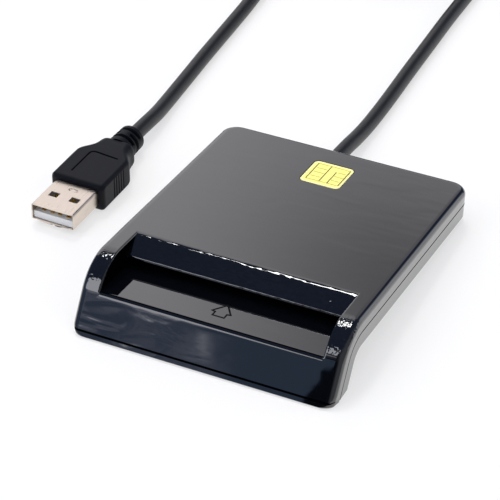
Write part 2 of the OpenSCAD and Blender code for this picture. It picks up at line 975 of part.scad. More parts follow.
plug_x = -56.8;
plug_y = -7.5;
plug_turn = -1.5;
shell_in = 5.5;
relief_l = 7.2;
plug_l = shell_out + grip_l + relief_l;
plug_mid = grip_h / 2;
plug_exit = [plug_x - plug_l * sin(plug_turn), plug_y + plug_l * cos(plug_turn), plug_mid];
plug_route = [[coil_x - coil_r, coil_y - lead_d, coil_top_z], [-61, 156, coil_top_z],
    [-61, 150, 6], [-60.8, 142, 5.1], [-60.5, 134, 4], [-60.1, 125, 2.9], [-59.6, 116, 2.3],
    [-59.1, 107, rest_z], [-58.7, 98, rest_z], [-58.3, 88, rest_z], [-57.9, 78, rest_z],
    [-57.4, 69, rest_z], [-56.9, 60, 2.1], [-56.3, 52, 2.4], [-55.8, 46, 2.9], [-55.6, 40.5, 3.5],
    [-55.65, 36.5, plug_mid], plug_exit];

module reader_lead() {
    color([0.2, 0.2, 0.22])
    tube(reader_route, lead_d, lead_sides);
}

module plug_lead() {
    color([0.2, 0.2, 0.22])
    tube(plug_route, lead_d, lead_sides);
}

// Coil of two layers: it spirals in on the floor, climbs half a turn and spirals out on top
coil_turns = 2 * coil_turns_in + 1 / 2;
function coil_radius(turn) = coil_r - coil_pitch * min(turn, coil_turns - turn);
function coil_height(turn) = rest_z + coil_pitch * min(1, max(0, 2 * (turn - coil_turns_in)));
coil_line = concat(
    [[coil_x + coil_r, coil_y - lead_d, rest_z]],
    [for (i = [0 : coil_rings * coil_turns])
        let (turn = i / coil_rings, r = coil_radius(turn))
        [coil_x + r * cos(360 * turn), coil_y + r * sin(360 * turn), coil_height(turn)]],
    [[coil_x - coil_r, coil_y - lead_d, coil_top_z]]);
coil_gap = min([for (i = [0 : len(coil_line) - 1], j = [i + coil_rings / 2 : 1 : len(coil_line) - 1])
    norm(coil_line[i] - coil_line[j])]) - lead_d;

module lead_coil() {
    color([0.2, 0.2, 0.22])
    tube(coil_line, lead_d, coil_sides);
}

// The plug lies on the floor beside the case, with its open end to the front
module plug_placed() {
    translate([plug_x, plug_y, 0])
    rotate(plug_turn)
    children();
}

// Bar along the plug with rounded long edges, from y to y + l
module rounded_bar(w, h, r, y, l) {
    translate([0, y + l, plug_mid])
    rotate([90, 0, 0])
    linear_extrude(l) {
        translate([r - w / 2, -h / 2])
        square([w - 2 * r, h]);
        translate([-w / 2, r - h / 2])
        square([w, h - 2 * r]);
        for (x = [-1, 1], z = [-1, 1]) {
            translate([x * (w / 2 - r), z * (h / 2 - r)])
            circle(r = r);
        }
    }
}

shell_t = 0.3;
shell_round = 0.5;
latch_w = 2.5;
latch_l = 2;
latch_x = 2.9;
latch_y = 5.8;

module plug_shell() {
    color([0.83, 0.8, 0.76])
    plug_placed()
    difference() {
        rounded_bar(shell_w, shell_h, shell_round, 0, shell_out + shell_in);
        hollow_l = shell_out + shell_in + 2 * over;
        rounded_bar(shell_w - 2 * shell_t, shell_h - 2 * shell_t, shell_round - shell_t, -over, hollow_l);
        for (side = [-1, 1]) {
            translate([side * latch_x - latch_w / 2, latch_y - latch_l / 2, -over])
            cube([latch_w, latch_l, grip_h + 2 * over]);
        }
    }
}

tongue_h = 1.9;
tongue_start = 0.5;
core_start = 9.5;
plug_contact = [1, 8, 0.2];
plug_contact_x = [-3.5, -1, 1, 3.5];

module plug_tongue() {
    inner = [shell_w - 2 * shell_t - 2 * play, shell_h - 2 * shell_t - 2 * play];
    base_z = plug_mid - inner[1] / 2;
    color([0.93, 0.93, 0.92])
    plug_placed() {
        translate([-inner[0] / 2, tongue_start, base_z])
        cube([inner[0], shell_out + shell_in - tongue_start, tongue_h]);
        translate([-inner[0] / 2, core_start, base_z])
        cube([inner[0], shell_out + shell_in - core_start, inner[1]]);
    }
}

module plug_contacts() {
    tongue_top = plug_mid - shell_h / 2 + shell_t + play + tongue_h;
    color([0.85, 0.7, 0.3])
    plug_placed()
    for (x = plug_contact_x) {
        translate([x - plug_contact[0] / 2, core_start - plug_contact[1], tongue_top])
        cube(plug_contact);
    }
}

// Grip of the plug: a broad body, a waist that narrows to a neck, and a ringed strain relief
grip_round = 1.2;
grip_taper_l = 6.5;
neck_w = 9.4;
neck_l = 2;
ring_r = 3.7;
ring_count = 3;
ring_gap = 0.9;
groove_d = 0.4;
groove_w = 0.5;
groove_count = 5;
groove_pitch = 1.2;
groove_front = 6;
relief_core_share = 0.68;
ring_shrink_share = 0.09;
// Waist between the broad part and the neck: shares of the narrowing and of the taper's length
grip_waist_share = [0.2, 0.3, 0.75, 0.65];

module grip_plan() {
    w = grip_w / 2;
    n = neck_w / 2;
    broad = shell_out + grip_l - grip_taper_l - neck_l;
    neck = shell_out + grip_l - neck_l;
    end = shell_out + grip_l;
    half = [
        [w - grip_round / 2, shell_out],
        [w, shell_out + grip_round / 2],
        [w, broad],
        [w - (w - n) * grip_waist_share[0], broad + grip_taper_l * grip_waist_share[1]],
        [w - (w - n) * grip_waist_share[2], broad + grip_taper_l * grip_waist_share[3]],
        [n, neck],
        [n, end - grip_round],
        [n - grip_round, end]
    ];
    polygon(concat(half, [for (i = [len(half) - 1 : -1 : 0]) [-half[i][0], half[i][1]]]));
}

module plug_grip() {
    relief_start = shell_out + grip_l;
    step = relief_l / ring_count;
    color([0.1, 0.1, 0.11])
    plug_placed() {
        difference() {
            intersection() {
                linear_extrude(grip_h)
                grip_plan();
                rounded_bar(grip_w, grip_h, grip_round, shell_out - over, grip_l + 2 * over);
            }
            pocket_w = shell_w + 2 * play;
            pocket_l = shell_in + over + play;
            rounded_bar(pocket_w, shell_h + 2 * play, shell_round + play, shell_out - over, pocket_l);
            for (side = [-1, 1], i = [0 : groove_count - 1]) {
                groove_y = shell_out + groove_front + i * groove_pitch;
                translate([side * grip_w / 2 - groove_d, groove_y, grip_round])
                cube([2 * groove_d, groove_w, grip_h - 2 * grip_round]);
            }
        }
        translate([0, relief_start - over, plug_mid])
        rotate([-90, 0, 0])
        cylinder(r = ring_r * relief_core_share, h = over + relief_l - ring_gap / 2);
        for (i = [0 : ring_count - 1]) {
            start_r = ring_r * (1 - i * ring_shrink_share);
            end_r = ring_r * (1 - (i + 1 / 2) * ring_shrink_share);
            translate([0, relief_start + i * step + ring_gap, plug_mid])
            rotate([-90, 0, 0])
            cylinder(r1 = start_r, r2 = end_r, h = step - ring_gap);
        }
    }
}

echo(lean = lean, lift = lift, middle = middle, coil_gap = coil_gap);

top_cover();
bottom_cover();
chip_badge();
circuit_board();
card_connector();
contact_tails();
front_contact_springs();
rear_contact_springs();
card_switch_housing();
card_switch_lever();
controller_chip();
voltage_regulator();
crystal();
capacitors();
resistors();
lead_socket();
lead_socket_pins();
lead_connector();
red_wire();
white_wire();
green_wire();
black_wire();
board_screws();
case_screws();
rear_bumpers();
front_pads();
lead_grommet();
reader_lead();
lead_coil();
plug_lead();
plug_grip();
plug_shell();
plug_tongue();
plug_contacts();
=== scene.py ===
# %% [markdown]
# A desktop smart card reader, photographed from above and to the right. The solids come
# from a CAD program as a fixed frame: every node keeps its place, and here it gets its
# finish, or a finer piece that stands where it stands. Lengths are written in millimetres
# and turned into Blender's metres by one factor, so they can be checked against a ruler.

# %% Load the frame
import math
import bmesh
import bpy
from mathutils import Matrix, Vector


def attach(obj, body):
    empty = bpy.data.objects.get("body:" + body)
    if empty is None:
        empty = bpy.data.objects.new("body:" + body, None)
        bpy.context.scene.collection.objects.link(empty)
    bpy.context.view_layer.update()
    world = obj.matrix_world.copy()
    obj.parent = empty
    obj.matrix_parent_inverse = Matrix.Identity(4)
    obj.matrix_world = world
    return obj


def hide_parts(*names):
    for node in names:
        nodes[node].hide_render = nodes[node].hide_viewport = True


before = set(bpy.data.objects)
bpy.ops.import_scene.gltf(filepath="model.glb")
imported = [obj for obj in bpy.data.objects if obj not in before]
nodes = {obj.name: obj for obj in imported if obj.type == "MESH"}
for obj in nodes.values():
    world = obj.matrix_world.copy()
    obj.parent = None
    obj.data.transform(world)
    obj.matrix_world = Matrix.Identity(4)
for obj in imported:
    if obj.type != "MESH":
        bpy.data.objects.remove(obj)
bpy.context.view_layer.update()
MM = 0.001


# %% [markdown]
# The camera is the photograph's own: its place and tilt were solved from the straight edges
# of the case, whose real lengths are known. A lens of 165 mm on a 36 mm sensor is a short
# telephoto, which is why the case hardly narrows towards its back.

# %% Camera
eye = Vector((183.194, -400.559, 327.548)) * MM
axes = [
    Vector((0.90367732, 0.42821274, -0.00107198)),
    Vector((-0.25147279, 0.53271766, 0.80806765)),
    Vector((0.34659592, -0.72996284, 0.58908872)),
]
camera_data = bpy.data.cameras.new("camera")
camera_data.lens = 165.30
camera_data.sensor_width = 36
camera_data.clip_start = 0.05
camera_data.clip_end = 20
camera = bpy.data.objects.new("camera", camera_data)
turned = Matrix([list(axis) for axis in axes]).transposed().to_4x4()
camera.matrix_world = Matrix.Translation(eye) @ turned
bpy.context.scene.collection.objects.link(camera)
bpy.context.scene.camera = camera
bpy.context.scene.view_settings.view_transform = "Standard"
print("camera", round(eye.length / MM), "mm from the origin")

# %% [markdown]
# Every finish below is a small tree of shader nodes. One function adds a node with its
# settings and what goes into its sockets, so that each material reads as a list of what it
# is made of. Colours are written as sRGB hex values, as a painter's chart gives them, and
# turned into the linear values that a renderer works with.

# %% Helpers for materials
def linear(hex_colour):
    """Linear RGBA of an sRGB colour such as '1a2b3c'."""
    parts = [int(hex_colour[at:at + 2], 16) / 255 for at in (0, 2, 4)]
    bent = [v / 12.92 if v <= 0.04045 else ((v + 0.055) / 1.055) ** 2.4 for v in parts]
    return (*bent, 1.0)


def pick(sockets, name):
    """A socket by its number, or by its name among those that the node's settings show."""
    if isinstance(name, int):
        return sockets[name]
    return next(socket for socket in sockets if socket.name == name and socket.enabled)


def add(tree, kind, inputs=None, **settings):
    """A new node of that kind. An input is a value, or (node, output name) to link from."""
    made = tree.nodes.new("ShaderNode" + kind)
    for name, value in settings.items():
        setattr(made, name, value)
    for name, value in (inputs or {}).items():
        socket = pick(made.inputs, name)
        if isinstance(value, tuple) and isinstance(value[0], bpy.types.Node):
            tree.links.new(pick(value[0].outputs, value[1]), socket)
        else:
            socket.default_value = value
    return made


def new_material(name):
    """An empty material and its tree, ready for its nodes."""
    material = bpy.data.materials.new(name)
    material.use_nodes = True
    material.node_tree.nodes.clear()
    return material, material.node_tree


print("mid grey 808080 is", round(linear("808080")[0], 3), "in linear light")

# %% [markdown]
# The lead is about one metre of round PVC cable, 4 mm thick. The photograph shows both of
# its ends running off the top of the picture, so the rest lies behind, just outside the
# view, wound into a loose round coil as it would be for storage. One spline follows the
# whole way: out of the reader, round the coil and back to the plug. Automatic Bezier handles
# make a smooth line of the points. The bevel is one metre and each point's radius scales it
# down to the lead's own, because Blender takes that radius for the box around a curve.

# %% Route of the lead
lead_d = 4
rest_z = lead_d / 2 + 0.05
case_exit = (-4, 43.286, 4.694)
plug_exit = (-55.753, 32.486, 3.7)
reader_run = [
    case_exit, (-4, 47, 4.36), (-4, 52, 3.8), (-4, 58, 2.9), (-4, 65, 2.3),
    (-4.1, 74, rest_z), (-4.3, 84, rest_z), (-4.6, 94, rest_z), (-4.8, 104, rest_z),
    (-5, 114, rest_z), (-5.2, 124, rest_z), (-5.2, 134, rest_z), (-5.1, 144, rest_z),
    (-5, 152, rest_z),
]
plug_run = [
    (-61, 156, 6.55), (-61, 150, 6), (-60.8, 142, 5.1), (-60.5, 134, 4), (-60.1, 125, 2.9),
    (-59.6, 116, 2.3), (-59.1, 107, rest_z), (-58.7, 98, rest_z), (-58.3, 88, rest_z),
    (-57.9, 78, rest_z), (-57.4, 69, rest_z), (-56.9, 60, 2.1), (-56.3, 52, 2.4),
    (-55.8, 46, 2.9), (-55.6, 40.5, 3.5), (-55.65, 36.5, 3.7), plug_exit,
]
coil_centre, coil_radius = (-33, 163), 28
turn_step = 4.5  # from one turn to the next, beside it or over it
coil_turns, lower_turns = 5.5, 2.5
points_a_turn = 24
tie_thick = 0.4


def clamp(share):
    """A share, kept between nothing and the whole."""
    return min(max(share, 0), 1)


def coil_point(turn):
    """Where the lead lies after that many turns: inwards below, then up and back out."""
    radius = coil_radius - turn_step * min(turn, coil_turns - turn)
    rise = clamp(2 * (turn - lower_turns))
    angle = 2 * math.pi * turn
    over_tie = tie_thick * max(0, math.sin(angle)) ** 8
    return (
        coil_centre[0] + radius * math.cos(angle),
        coil_centre[1] + radius * math.sin(angle),
        rest_z + turn_step * rise + over_tie,
    )


coil_run = [coil_point(at / points_a_turn) for at in range(int(coil_turns * points_a_turn) + 1)]
into_coil, out_of_coil = (-5, 159, rest_z), (-61, 159, 6.55)
lead_points = [*reader_run, into_coil, *coil_run, out_of_coil, *plug_run]
lead_curve = bpy.data.curves.new("lead", "CURVE")
lead_curve.dimensions = "3D"
lead_curve.bevel_depth = 1.0
lead_curve.bevel_resolution = 6
lead_curve.resolution_u = 4
lead_curve.use_fill_caps = True
spline = lead_curve.splines.new("BEZIER")
spline.bezier_points.add(len(lead_points) - 1)
for knot, place in zip(spline.bezier_points, lead_points):
    knot.co = Vector(place) * MM
    knot.handle_left_type = knot.handle_right_type = "AUTO"
    knot.radius = lead_d / 2 * MM
lead = bpy.data.objects.new("lead", lead_curve)
bpy.context.scene.collection.objects.link(lead)
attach(lead, "case")
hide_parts("reader_lead", "lead_coil", "plug_lead")

# %% [markdown]
# The studio is plain: a white floor under soft light from all sides. A glossy black case
# has hardly any colour of its own, so nearly all that one sees on it is the mirror image of
# this studio. The soft boxes are painted on the sky, which is endlessly far away, so each
# one is given by the direction in which it stands: how far round from the back of the case
# and how high. Planes through the eye cut it out of the sky, and a noise of some three
# degrees can tear its edges.

# %% Tools for the sky
world = bpy.data.worlds.new("studio")
bpy.context.scene.world = world
world.use_nodes = True
sky_tree = world.node_tree
sky_tree.nodes.clear()
direction = (add(sky_tree, "TexCoord"), "Generated")
cloud = add(sky_tree, "TexNoise", {
    "Vector": direction, "Scale": 20.0, "Detail": 4.0, "Roughness": 0.6,
})


def toward(azimuth, elevation):
    """The direction so many degrees round from +y towards +x, and so high."""
    a, e = math.radians(azimuth), math.radians(elevation)
    return Vector((math.sin(a) * math.cos(e), math.cos(a) * math.cos(e), math.sin(e)))


def across(axis, reach, soft, ragged):
    """1 where the sky's direction is within reach of a plane through the eye, 0 beyond."""
    along = add(sky_tree, "VectorMath", {0: direction, 1: axis}, operation="DOT_PRODUCT")
    off = add(sky_tree, "Math", {0: (along, "Value")}, operation="ABSOLUTE")
    torn = add(sky_tree, "Math", {0: (cloud, "Fac"), 1: ragged, 2: (off, "Value")},
               operation="MULTIPLY_ADD")
    shift = ragged * 0.5
    return add(sky_tree, "MapRange", {
        "Value": (torn, "Value"),
        "From Min": reach + soft + shift, "From Max": reach - soft + shift,
    }, interpolation_type="SMOOTHSTEP")


def soft_box(under, azimuth, elevation, size, soft, strength, colour, ragged=0.0):
    """A box of light laid over what is under it, with soft or ragged edges. Sizes in degrees."""
    ahead = toward(azimuth, elevation)
    side = ahead.cross(Vector((0, 0, 1))).normalized()
    up = side.cross(ahead)
    half = [math.sin(math.radians(part / 2)) for part in size]
    blur = math.sin(math.radians(soft))
    wide = across(side, half[0], blur, ragged)
    high = across(up, half[1], blur, ragged)
    facing = add(sky_tree, "VectorMath", {0: direction, 1: ahead}, operation="DOT_PRODUCT")
    front = add(sky_tree, "Math", {0: (facing, "Value"), 1: 0.0}, operation="GREATER_THAN")
    both = add(sky_tree, "Math", {0: (wide, "Result"), 1: (high, "Result")}, operation="MULTIPLY")
    mask = add(sky_tree, "Math", {0: (both, "Value"), 1: (front, "Value")}, operation="MULTIPLY")
    glowing = [strength * part for part in linear(colour)[:3]] + [1.0]
    return add(sky_tree, "Mix", {
        "Factor": (mask, "Value"), "A": (under, "Result"), "B": glowing,
    }, data_type="RGBA")


print("azimuth 90 looks along", [round(v, 2) for v in toward(90, 0)])

# %% [markdown]
# Three boxes behind the reader make the flat top an even grey. Three bluish ones in front
# give the foot its clouds, two of them with torn edges, and a dark screen stands beside
# them. A wide box lights the side wall on the right, a small strong one high up draws the
# broken line of light where the well begins, and a low one behind on the right lights the
# right-hand edges. The sky between them is a dim blue. The camera itself sees plain white,
# as in a catalogue picture.

# %% Soft boxes in the sky
boxes = [
    # azimuth, elevation, width and height, softness, strength, colour, raggedness
    (-176, 24, (31, 50), 0.4, 0.02, "8090b0"),
    (120, 25, (90, 60), 12, 0.55, "e8ecf4"),
    (-130, 19, (55.75, 22), 0.04, 0.6, "b3d1ff"),
    (-144, 33, (21.5, 21), 2.2, 1.6, "dfe4ff", 0.16),
    (-147.4, 36.1, (16, 24.2), 0.8, 4.4, "f4f6ff", 0.12),
    (-28, 30.5, (44, 33), 1.5, 0.75, "ecebf0"),
    (-24, 18.5, (30, 14), 2, 1.25, "ecebf0"),
    (-41, 27.5, (33, 39), 3.5, 1.75, "f2f0f4"),
    (-35, 61.2, (9.5, 7), 0.5, 26.0, "ffffff", 0.2),
    (42, 14, (30, 30), 5, 1.8, "f2f4fa"),
]
level = add(sky_tree, "Mix", {
    "Factor": (cloud, "Fac"), "A": (0.02, 0.03, 0.07, 1), "B": (0.17, 0.22, 0.38, 1),
}, data_type="RGBA")
for box in boxes:
    level = soft_box(level, *box)
rays = add(sky_tree, "LightPath")
mirrored = add(sky_tree, "Background", {"Color": (level, "Result"), "Strength": 1.0})
white = add(sky_tree, "Background", {"Color": linear("ffffff"), "Strength": 1.0})
sky = add(sky_tree, "MixShader",
          {0: (rays, "Is Camera Ray"), 1: (mirrored, "Background"), 2: (white, "Background")})
add(sky_tree, "OutputWorld", {"Surface": (sky, "Shader")})
print(len(boxes), "boxes,", len(sky_tree.nodes), "nodes in the sky")

# %% [markdown]
# Three large lamps do the plain lighting. They throw light on the floor, the plug and the
# lead, and stay out of the mirror images, which the soft boxes already give. The floor is
# a matt white sheet: a camera ray sees part of it as plain white, as in a catalogue
# picture, and the rest is lit, so the object's shadow stays on it.

# %% Lamps and floor
def panel(name, centre, size, strength, colour="ffffff"):
    """A soft rectangular lamp at centre, in millimetres, that faces the reader."""
    data = bpy.data.lights.new(name, "AREA")
    data.shape = "RECTANGLE"
    data.size, data.size_y = (side * MM for side in size)
    data.energy = strength * data.size * data.size_y * math.pi
    data.color = linear(colour)[:3]
    lamp = bpy.data.objects.new(name, data)
    aim = -Vector(centre).normalized()
    lamp.matrix_world = (
        Matrix.Translation(Vector(centre) * MM) @ aim.to_track_quat("-Z", "Y").to_matrix().to_4x4()
    )
    lamp.visible_glossy = False
    bpy.context.scene.collection.objects.link(lamp)


panel("top_lamp", (-150, 100, 1200), (1500, 1500), 1.5, "fffaf4")
panel("left_lamp", (-900, -300, 700), (700, 700), 1.0)
panel("right_lamp", (900, -200, 700), (700, 700), 0.8)

reach = 4.0  # half the floor's side, in metres
floor_mesh = bpy.data.meshes.new("floor")
floor_mesh.from_pydata(
    [(-reach, -reach, 0), (reach, -reach, 0), (reach, reach, 0), (-reach, reach, 0)],
    [], [(0, 1, 2, 3)],
)
floor = bpy.data.objects.new("floor", floor_mesh)
bpy.context.scene.collection.objects.link(floor)
white_share, mirror_glow = 0.6, 1.6
floor_paint, tree = new_material("matt_white_floor")
light_path = add(tree, "LightPath")
matt = add(tree, "BsdfDiffuse", {"Color": linear("f6f6f6")})
seen = add(tree, "Math", {0: (light_path, "Is Camera Ray"), 1: (light_path, "Is Glossy Ray")},
           operation="MAXIMUM")
share = add(tree, "Math", {0: (seen, "Value"), 1: white_share}, operation="MULTIPLY")
bright = add(tree, "MapRange", {
    "Value": (light_path, "Is Glossy Ray"), "To Min": 1.0, "To Max": mirror_glow,
})
glow = add(tree, "Emission", {"Color": linear("ffffff"), "Strength": (bright, "Result")})
blend = add(tree, "MixShader", {0: (share, "Value"), 1: (matt, "BSDF"), 2: (glow, "Emission")})
add(tree, "OutputMaterial", {"Surface": (blend, "Shader")})
floor_mesh.materials.append(floor_paint)
print("floor of", 2 * reach, "m and", len(bpy.data.lights), "lamps")

# %% [markdown]
# The case is moulded in black ABS in a polished tool and never painted. ABS bends light like
# most plastics, IOR about 1.54, so it mirrors a twentieth of what stands before it and up
# to a fifth at a grazing look; what is left is a black with a breath of blue. A moulded
# face is never quite flat, because the melt shrinks as it cools. So the skin has zones, each
# faded in along one of its own coordinates: the left half of the foot, the edge of the strip
# over the slot, and the edges of the two arms beside the well.

# %% Zones of the skin
gloss_black, tree = new_material("gloss_black_abs")
place = add(tree, "TexCoord")
parts = add(tree, "SeparateXYZ", {"Vector": (place, "Object")})
zones = {}
for name, axis, none, full in (
    ("on_foot", "Y", -35.5, -38), ("past_top", "Y", -16.4, -17.6), ("raised", "Z", 10.6, 11.6),
    ("on_arms", "Y", -26, -27.5), ("on_left", "X", -4, -18),
):
    fade = add(tree, "MapRange", {
        "Value": (parts, axis), "From Min": none * MM, "From Max": full * MM,
    })
    zones[name] = (fade, "Result")
sideways = add(tree, "Math", {0: (parts, "X")}, operation="ABSOLUTE")
fade = add(tree, "MapRange", {
    "Value": (sideways, "Value"), "From Min": 28.5 * MM, "From Max": 28.3 * MM,
})
zones["between_arms"] = (fade, "Result")
for name, one, other in (
    ("on_strip", "past_top", "between_arms"), ("strip_edge", "on_strip", "raised"),
    ("arm_edge", "on_arms", "raised"), ("rolling", "on_foot", "on_left"),
):
    both = add(tree, "Math", {0: zones[one], 1: zones[other]}, operation="MULTIPLY")
    zones[name] = (both, "Value")
print("zones:", ", ".join(zones))

# %% [markdown]
# Slow ripples of some 5 mm, drawn out across the case, make the mirror image cloudy on the
# foot. The flat top cools evenly and keeps a fifth of them. Wrinkles of 1.1 mm on the edge
# of the strip and of 0.8 mm on the arms break the light there into glints. The polish varies
# slowly, and a few pale specks are dust, drawn larger than life so that they show.

# %% Gloss black ABS
drawn_out = add(tree, "Mapping", {"Vector": (place, "Object"), "Scale": (0.35, 1, 1)})
ripple = add(tree, "TexNoise", {
    "Vector": (drawn_out, "Vector"), "Scale": 1 / (5 * MM), "Detail": 1.5, "Distortion": 0.6,
})
fine = add(tree, "TexNoise", {
    "Vector": (drawn_out, "Vector"), "Scale": 1 / (1.1 * MM), "Detail": 1.0,
})
crisp = add(tree, "TexNoise", {
    "Vector": (place, "Object"), "Scale": 1 / (0.8 * MM), "Detail": 1.0,
})
slow = add(tree, "MapRange", {"Value": zones["rolling"], "To Min": 0.06, "To Max": 0.3})
wave = add(tree, "Bump", {
    "Height": (ripple, "Fac"), "Strength": (slow, "Result"), "Distance": 0.25 * MM,
})
wrinkle = add(tree, "Bump", {
    "Height": (fine, "Fac"), "Strength": zones["strip_edge"], "Distance": 0.1 * MM,
    "Normal": (wave, "Normal"),
})
zigzag = add(tree, "Bump", {
    "Height": (crisp, "Fac"), "Strength": zones["arm_edge"], "Distance": 0.08 * MM,
    "Normal": (wrinkle, "Normal"),
})
haze = add(tree, "TexNoise", {"Vector": (place, "Object"), "Scale": 1 / (18 * MM), "Detail": 3.0})
polish = add(tree, "MapRange", {"Value": (haze, "Fac"), "To Min": 0.004, "To Max": 0.03})
speck = add(tree, "TexVoronoi", {"Vector": (place, "Object"), "Scale": 1 / (2.6 * MM)})
dust = add(tree, "MapRange", {
    "Value": (speck, "Distance"), "From Min": 0.03, "From Max": 0.05, "To Min": 0.12, "To Max": 0.0,
})
tone = add(tree, "Mix", {
    "Factor": (dust, "Result"), "A": linear("06080d"), "B": linear("6a6c70"),
}, data_type="RGBA")
skin = add(tree, "BsdfPrincipled", {
    "Base Color": (tone, "Result"), "Roughness": (polish, "Result"), "IOR": 1.54,
    "Coat Weight": 0.4, "Coat Roughness": 0.005, "Coat IOR": 1.5, "Normal": (zigzag, "Normal"),
    "Coat Normal": (zigzag, "Normal"),
})
add(tree, "OutputMaterial", {"Surface": (skin, "BSDF")})
print("gloss black takes", len(tree.nodes), "nodes")

# %% [markdown]
# The groove over the sole, the lower side walls and two strips of the kerb of the well, the bed
# under the badge, the far edge of the shell's dimple and the groove on the grip are painted black
# as shade. An IOR close to that of air takes their mirror image away, so they read as plain black
# between the shining faces.

# %% Painted shade black
painted_shade_black, tree = new_material("painted_shade_black")
place = add(tree, "TexCoord")
pits = add(tree, "TexNoise", {"Vector": (place, "Object"), "Scale": 1 / (0.3 * MM), "Detail": 2.0})
rough = add(tree, "MapRange", {"Value": (pits, "Fac"), "To Min": 0.6, "To Max": 0.85})
skin = add(tree, "BsdfPrincipled", {
    "Base Color": linear("020203"), "Roughness": (rough, "Result"), "IOR": 1.04,
})
add(tree, "OutputMaterial", {"Surface": (skin, "BSDF")})
print("groove black takes", len(tree.nodes), "nodes")

# %% [markdown]
# The case is one outline carried along a path: flat from the rear wall, round the front
# bend, then down into the foot. That is also how its mesh is written here. A point is given
# by its place across the case, how far along the path it lies and how deep it is under the
# outer skin, and one function bends it into place. On a straight drawing the rounded edges
# are easy to lay out, and a glossy surface needs such edges, because each of them catches
# a line of light that a sharp edge would miss.

# %% The path of the case
lean = math.radians(5.12784)
case_lift, case_shift = 0.81772, 41.7332
case_h, case_half = 8, 33
flat_l, bend_r, bend = 68, 12, math.radians(62)
bend_end = flat_l + bend_r * bend
land = 0.15  # the foot's skin ends so far over the floor
front_y = -42.32 - 0.25 / math.tan(bend - lean)
front_round, sole_round = 3.5, 0.9
sole_groove_at, sole_groove_half, sole_groove_deep = 0.845, 0.016, 0.18


def leaned(x, y, z):
    """A point of the case's own frame, stood on its foot and its rear bumpers."""
    return Vector((
        x,
        y * math.cos(lean) + z * math.sin(lean) + case_shift,
        z * math.cos(lean) - y * math.sin(lean) + case_lift,
    ))


def set_back(share, radius):
    """How far a rounding stands back from its face, from 0 at its rim to 1 where it ends."""
    return radius * (1 - math.sqrt(1 - (1 - clamp(share)) ** 2))


def on_case(x, along, deep):
    """A point under the skin. Past the bend, along counts shares of the way down the foot."""
    turned = min(max(along - flat_l, 0) / bend_r, bend)
    radius = bend_r - deep
    y = -min(along, flat_l) - radius * math.sin(turned)
    z = case_h - bend_r + radius * math.cos(turned)
    if along <= bend_end:
        return leaned(x, y, z)
    deep += sole_groove(along - bend_end)
    radius = bend_r - deep
    y, z = -flat_l - radius * math.sin(bend), case_h - bend_r + radius * math.cos(bend)
    top = leaned(x, y, z)
    slide = (along - bend_end) * (top.z - land) / math.sin(bend - lean)
    low = leaned(x, y - slide * math.cos(bend), z - slide * math.sin(bend))
    return trim_corner(low)


def sole_groove(share):
    """How deep the fine groove over the sole is, so far down the foot."""
    return sole_groove_deep * max(0, 1 - abs(share - sole_groove_at) / sole_groove_half)


def trim_corner(point):
    """Keeps a point of the foot inside the rounded front corners and its rounded sole."""
    inset = set_back((point.z - land) / sole_round, sole_round)
    point.y = max(point.y, front_y + inset)
    axis = Vector((math.copysign(case_half - front_round, point.x), front_y + front_round))
    off = Vector((point.x, point.y)) - axis
    if off.x * axis.x > 0 and off.y < 0:
        ahead = -off.y / off.length
        limit = front_round - inset * ahead * ahead
        if off.length > limit:
            point.x, point.y = axis + off.normalized() * limit
    return point


print("path to the foot", round(bend_end, 2), "mm, then down to", land, "mm")

# %% [markdown]
# Meshes are put together from grids of points. Each grid is a small sheet of four-sided
# faces, told which way its outside lies, and the sheets are sewn together where their
# borders coincide. Weighted normals then keep the broad faces flat up to the very start of
# each rounding, as a polished mould does.

# %% Helpers for meshes
def add_grid(mesh, rows, outside):
    """Faces between rows of points. outside is the way that the sheet as a whole looks."""
    made = [[mesh.verts.new(Vector(p) * MM) for p in row] for row in rows]
    faces = []
    for low, high in zip(made, made[1:]):
        for a, b, c, d in zip(low, low[1:], high[1:], high):
            faces.append(mesh.faces.new((a, b, c, d)))
    total = Vector()
    for face in faces:
        face.normal_update()
        total += face.normal * face.calc_area()
    if total.dot(Vector(outside)) < 0:
        bmesh.ops.reverse_faces(mesh, faces=faces)
    return faces


def rounded(corners, radii, steps=4):
    """A line through corners in a plane, with an arc of the given radius at each one."""
    line = []
    for at, corner in enumerate(corners):
        here, radius = Vector(corner), radii[at] if at < len(radii) else 0
        if radius == 0 or at in (0, len(corners) - 1):
            line.append(here)
            continue
        back = (Vector(corners[at - 1]) - here).normalized()
        on = (Vector(corners[at + 1]) - here).normalized()
        half = math.acos(max(-1, min(1, back.dot(on)))) / 2
        start, end = (here + way * radius / math.tan(half) for way in (back, on))
        centre = here + (back + on).normalized() * radius / math.sin(half)
        first, last = start - centre, end - centre
        sweep = first.angle_signed(last)
        for step in range(steps + 1):
            turn = Matrix.Rotation(-sweep * step / steps, 2)
            line.append(centre + turn @ first)
    return line


def to_object(mesh, name, body, finish, join=0.0004, weighted=True, corner=40):
    """A finished piece from a mesh in the making: sewn, shaded smooth and riding on body."""
    bmesh.ops.remove_doubles(mesh, verts=mesh.verts, dist=join * MM)
    bmesh.ops.dissolve_degenerate(mesh, edges=mesh.edges, dist=join * MM)
    for edge in mesh.edges:
        paired = len(edge.link_faces) == 2
        edge.smooth = paired and edge.calc_face_angle(0) < math.radians(corner)
    for face in mesh.faces:
        face.smooth = True
    data = bpy.data.meshes.new(name)
    mesh.to_mesh(data)
    mesh.free()
    piece = bpy.data.objects.new(name, data)
    bpy.context.scene.collection.objects.link(piece)
    for layer in finish if isinstance(finish, list) else [finish]:
        data.materials.append(layer)
    if weighted:
        shade = piece.modifiers.new("weighted", "WEIGHTED_NORMAL")
        shade.keep_sharp = True
        shade.weight = 90
    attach(piece, body)
    print(name, len(data.polygons), "faces")
    return piece


print("a rounded corner is a line of", len(rounded([(0, 0), (5, 0), (5, 5)], [0, 1])), "points")

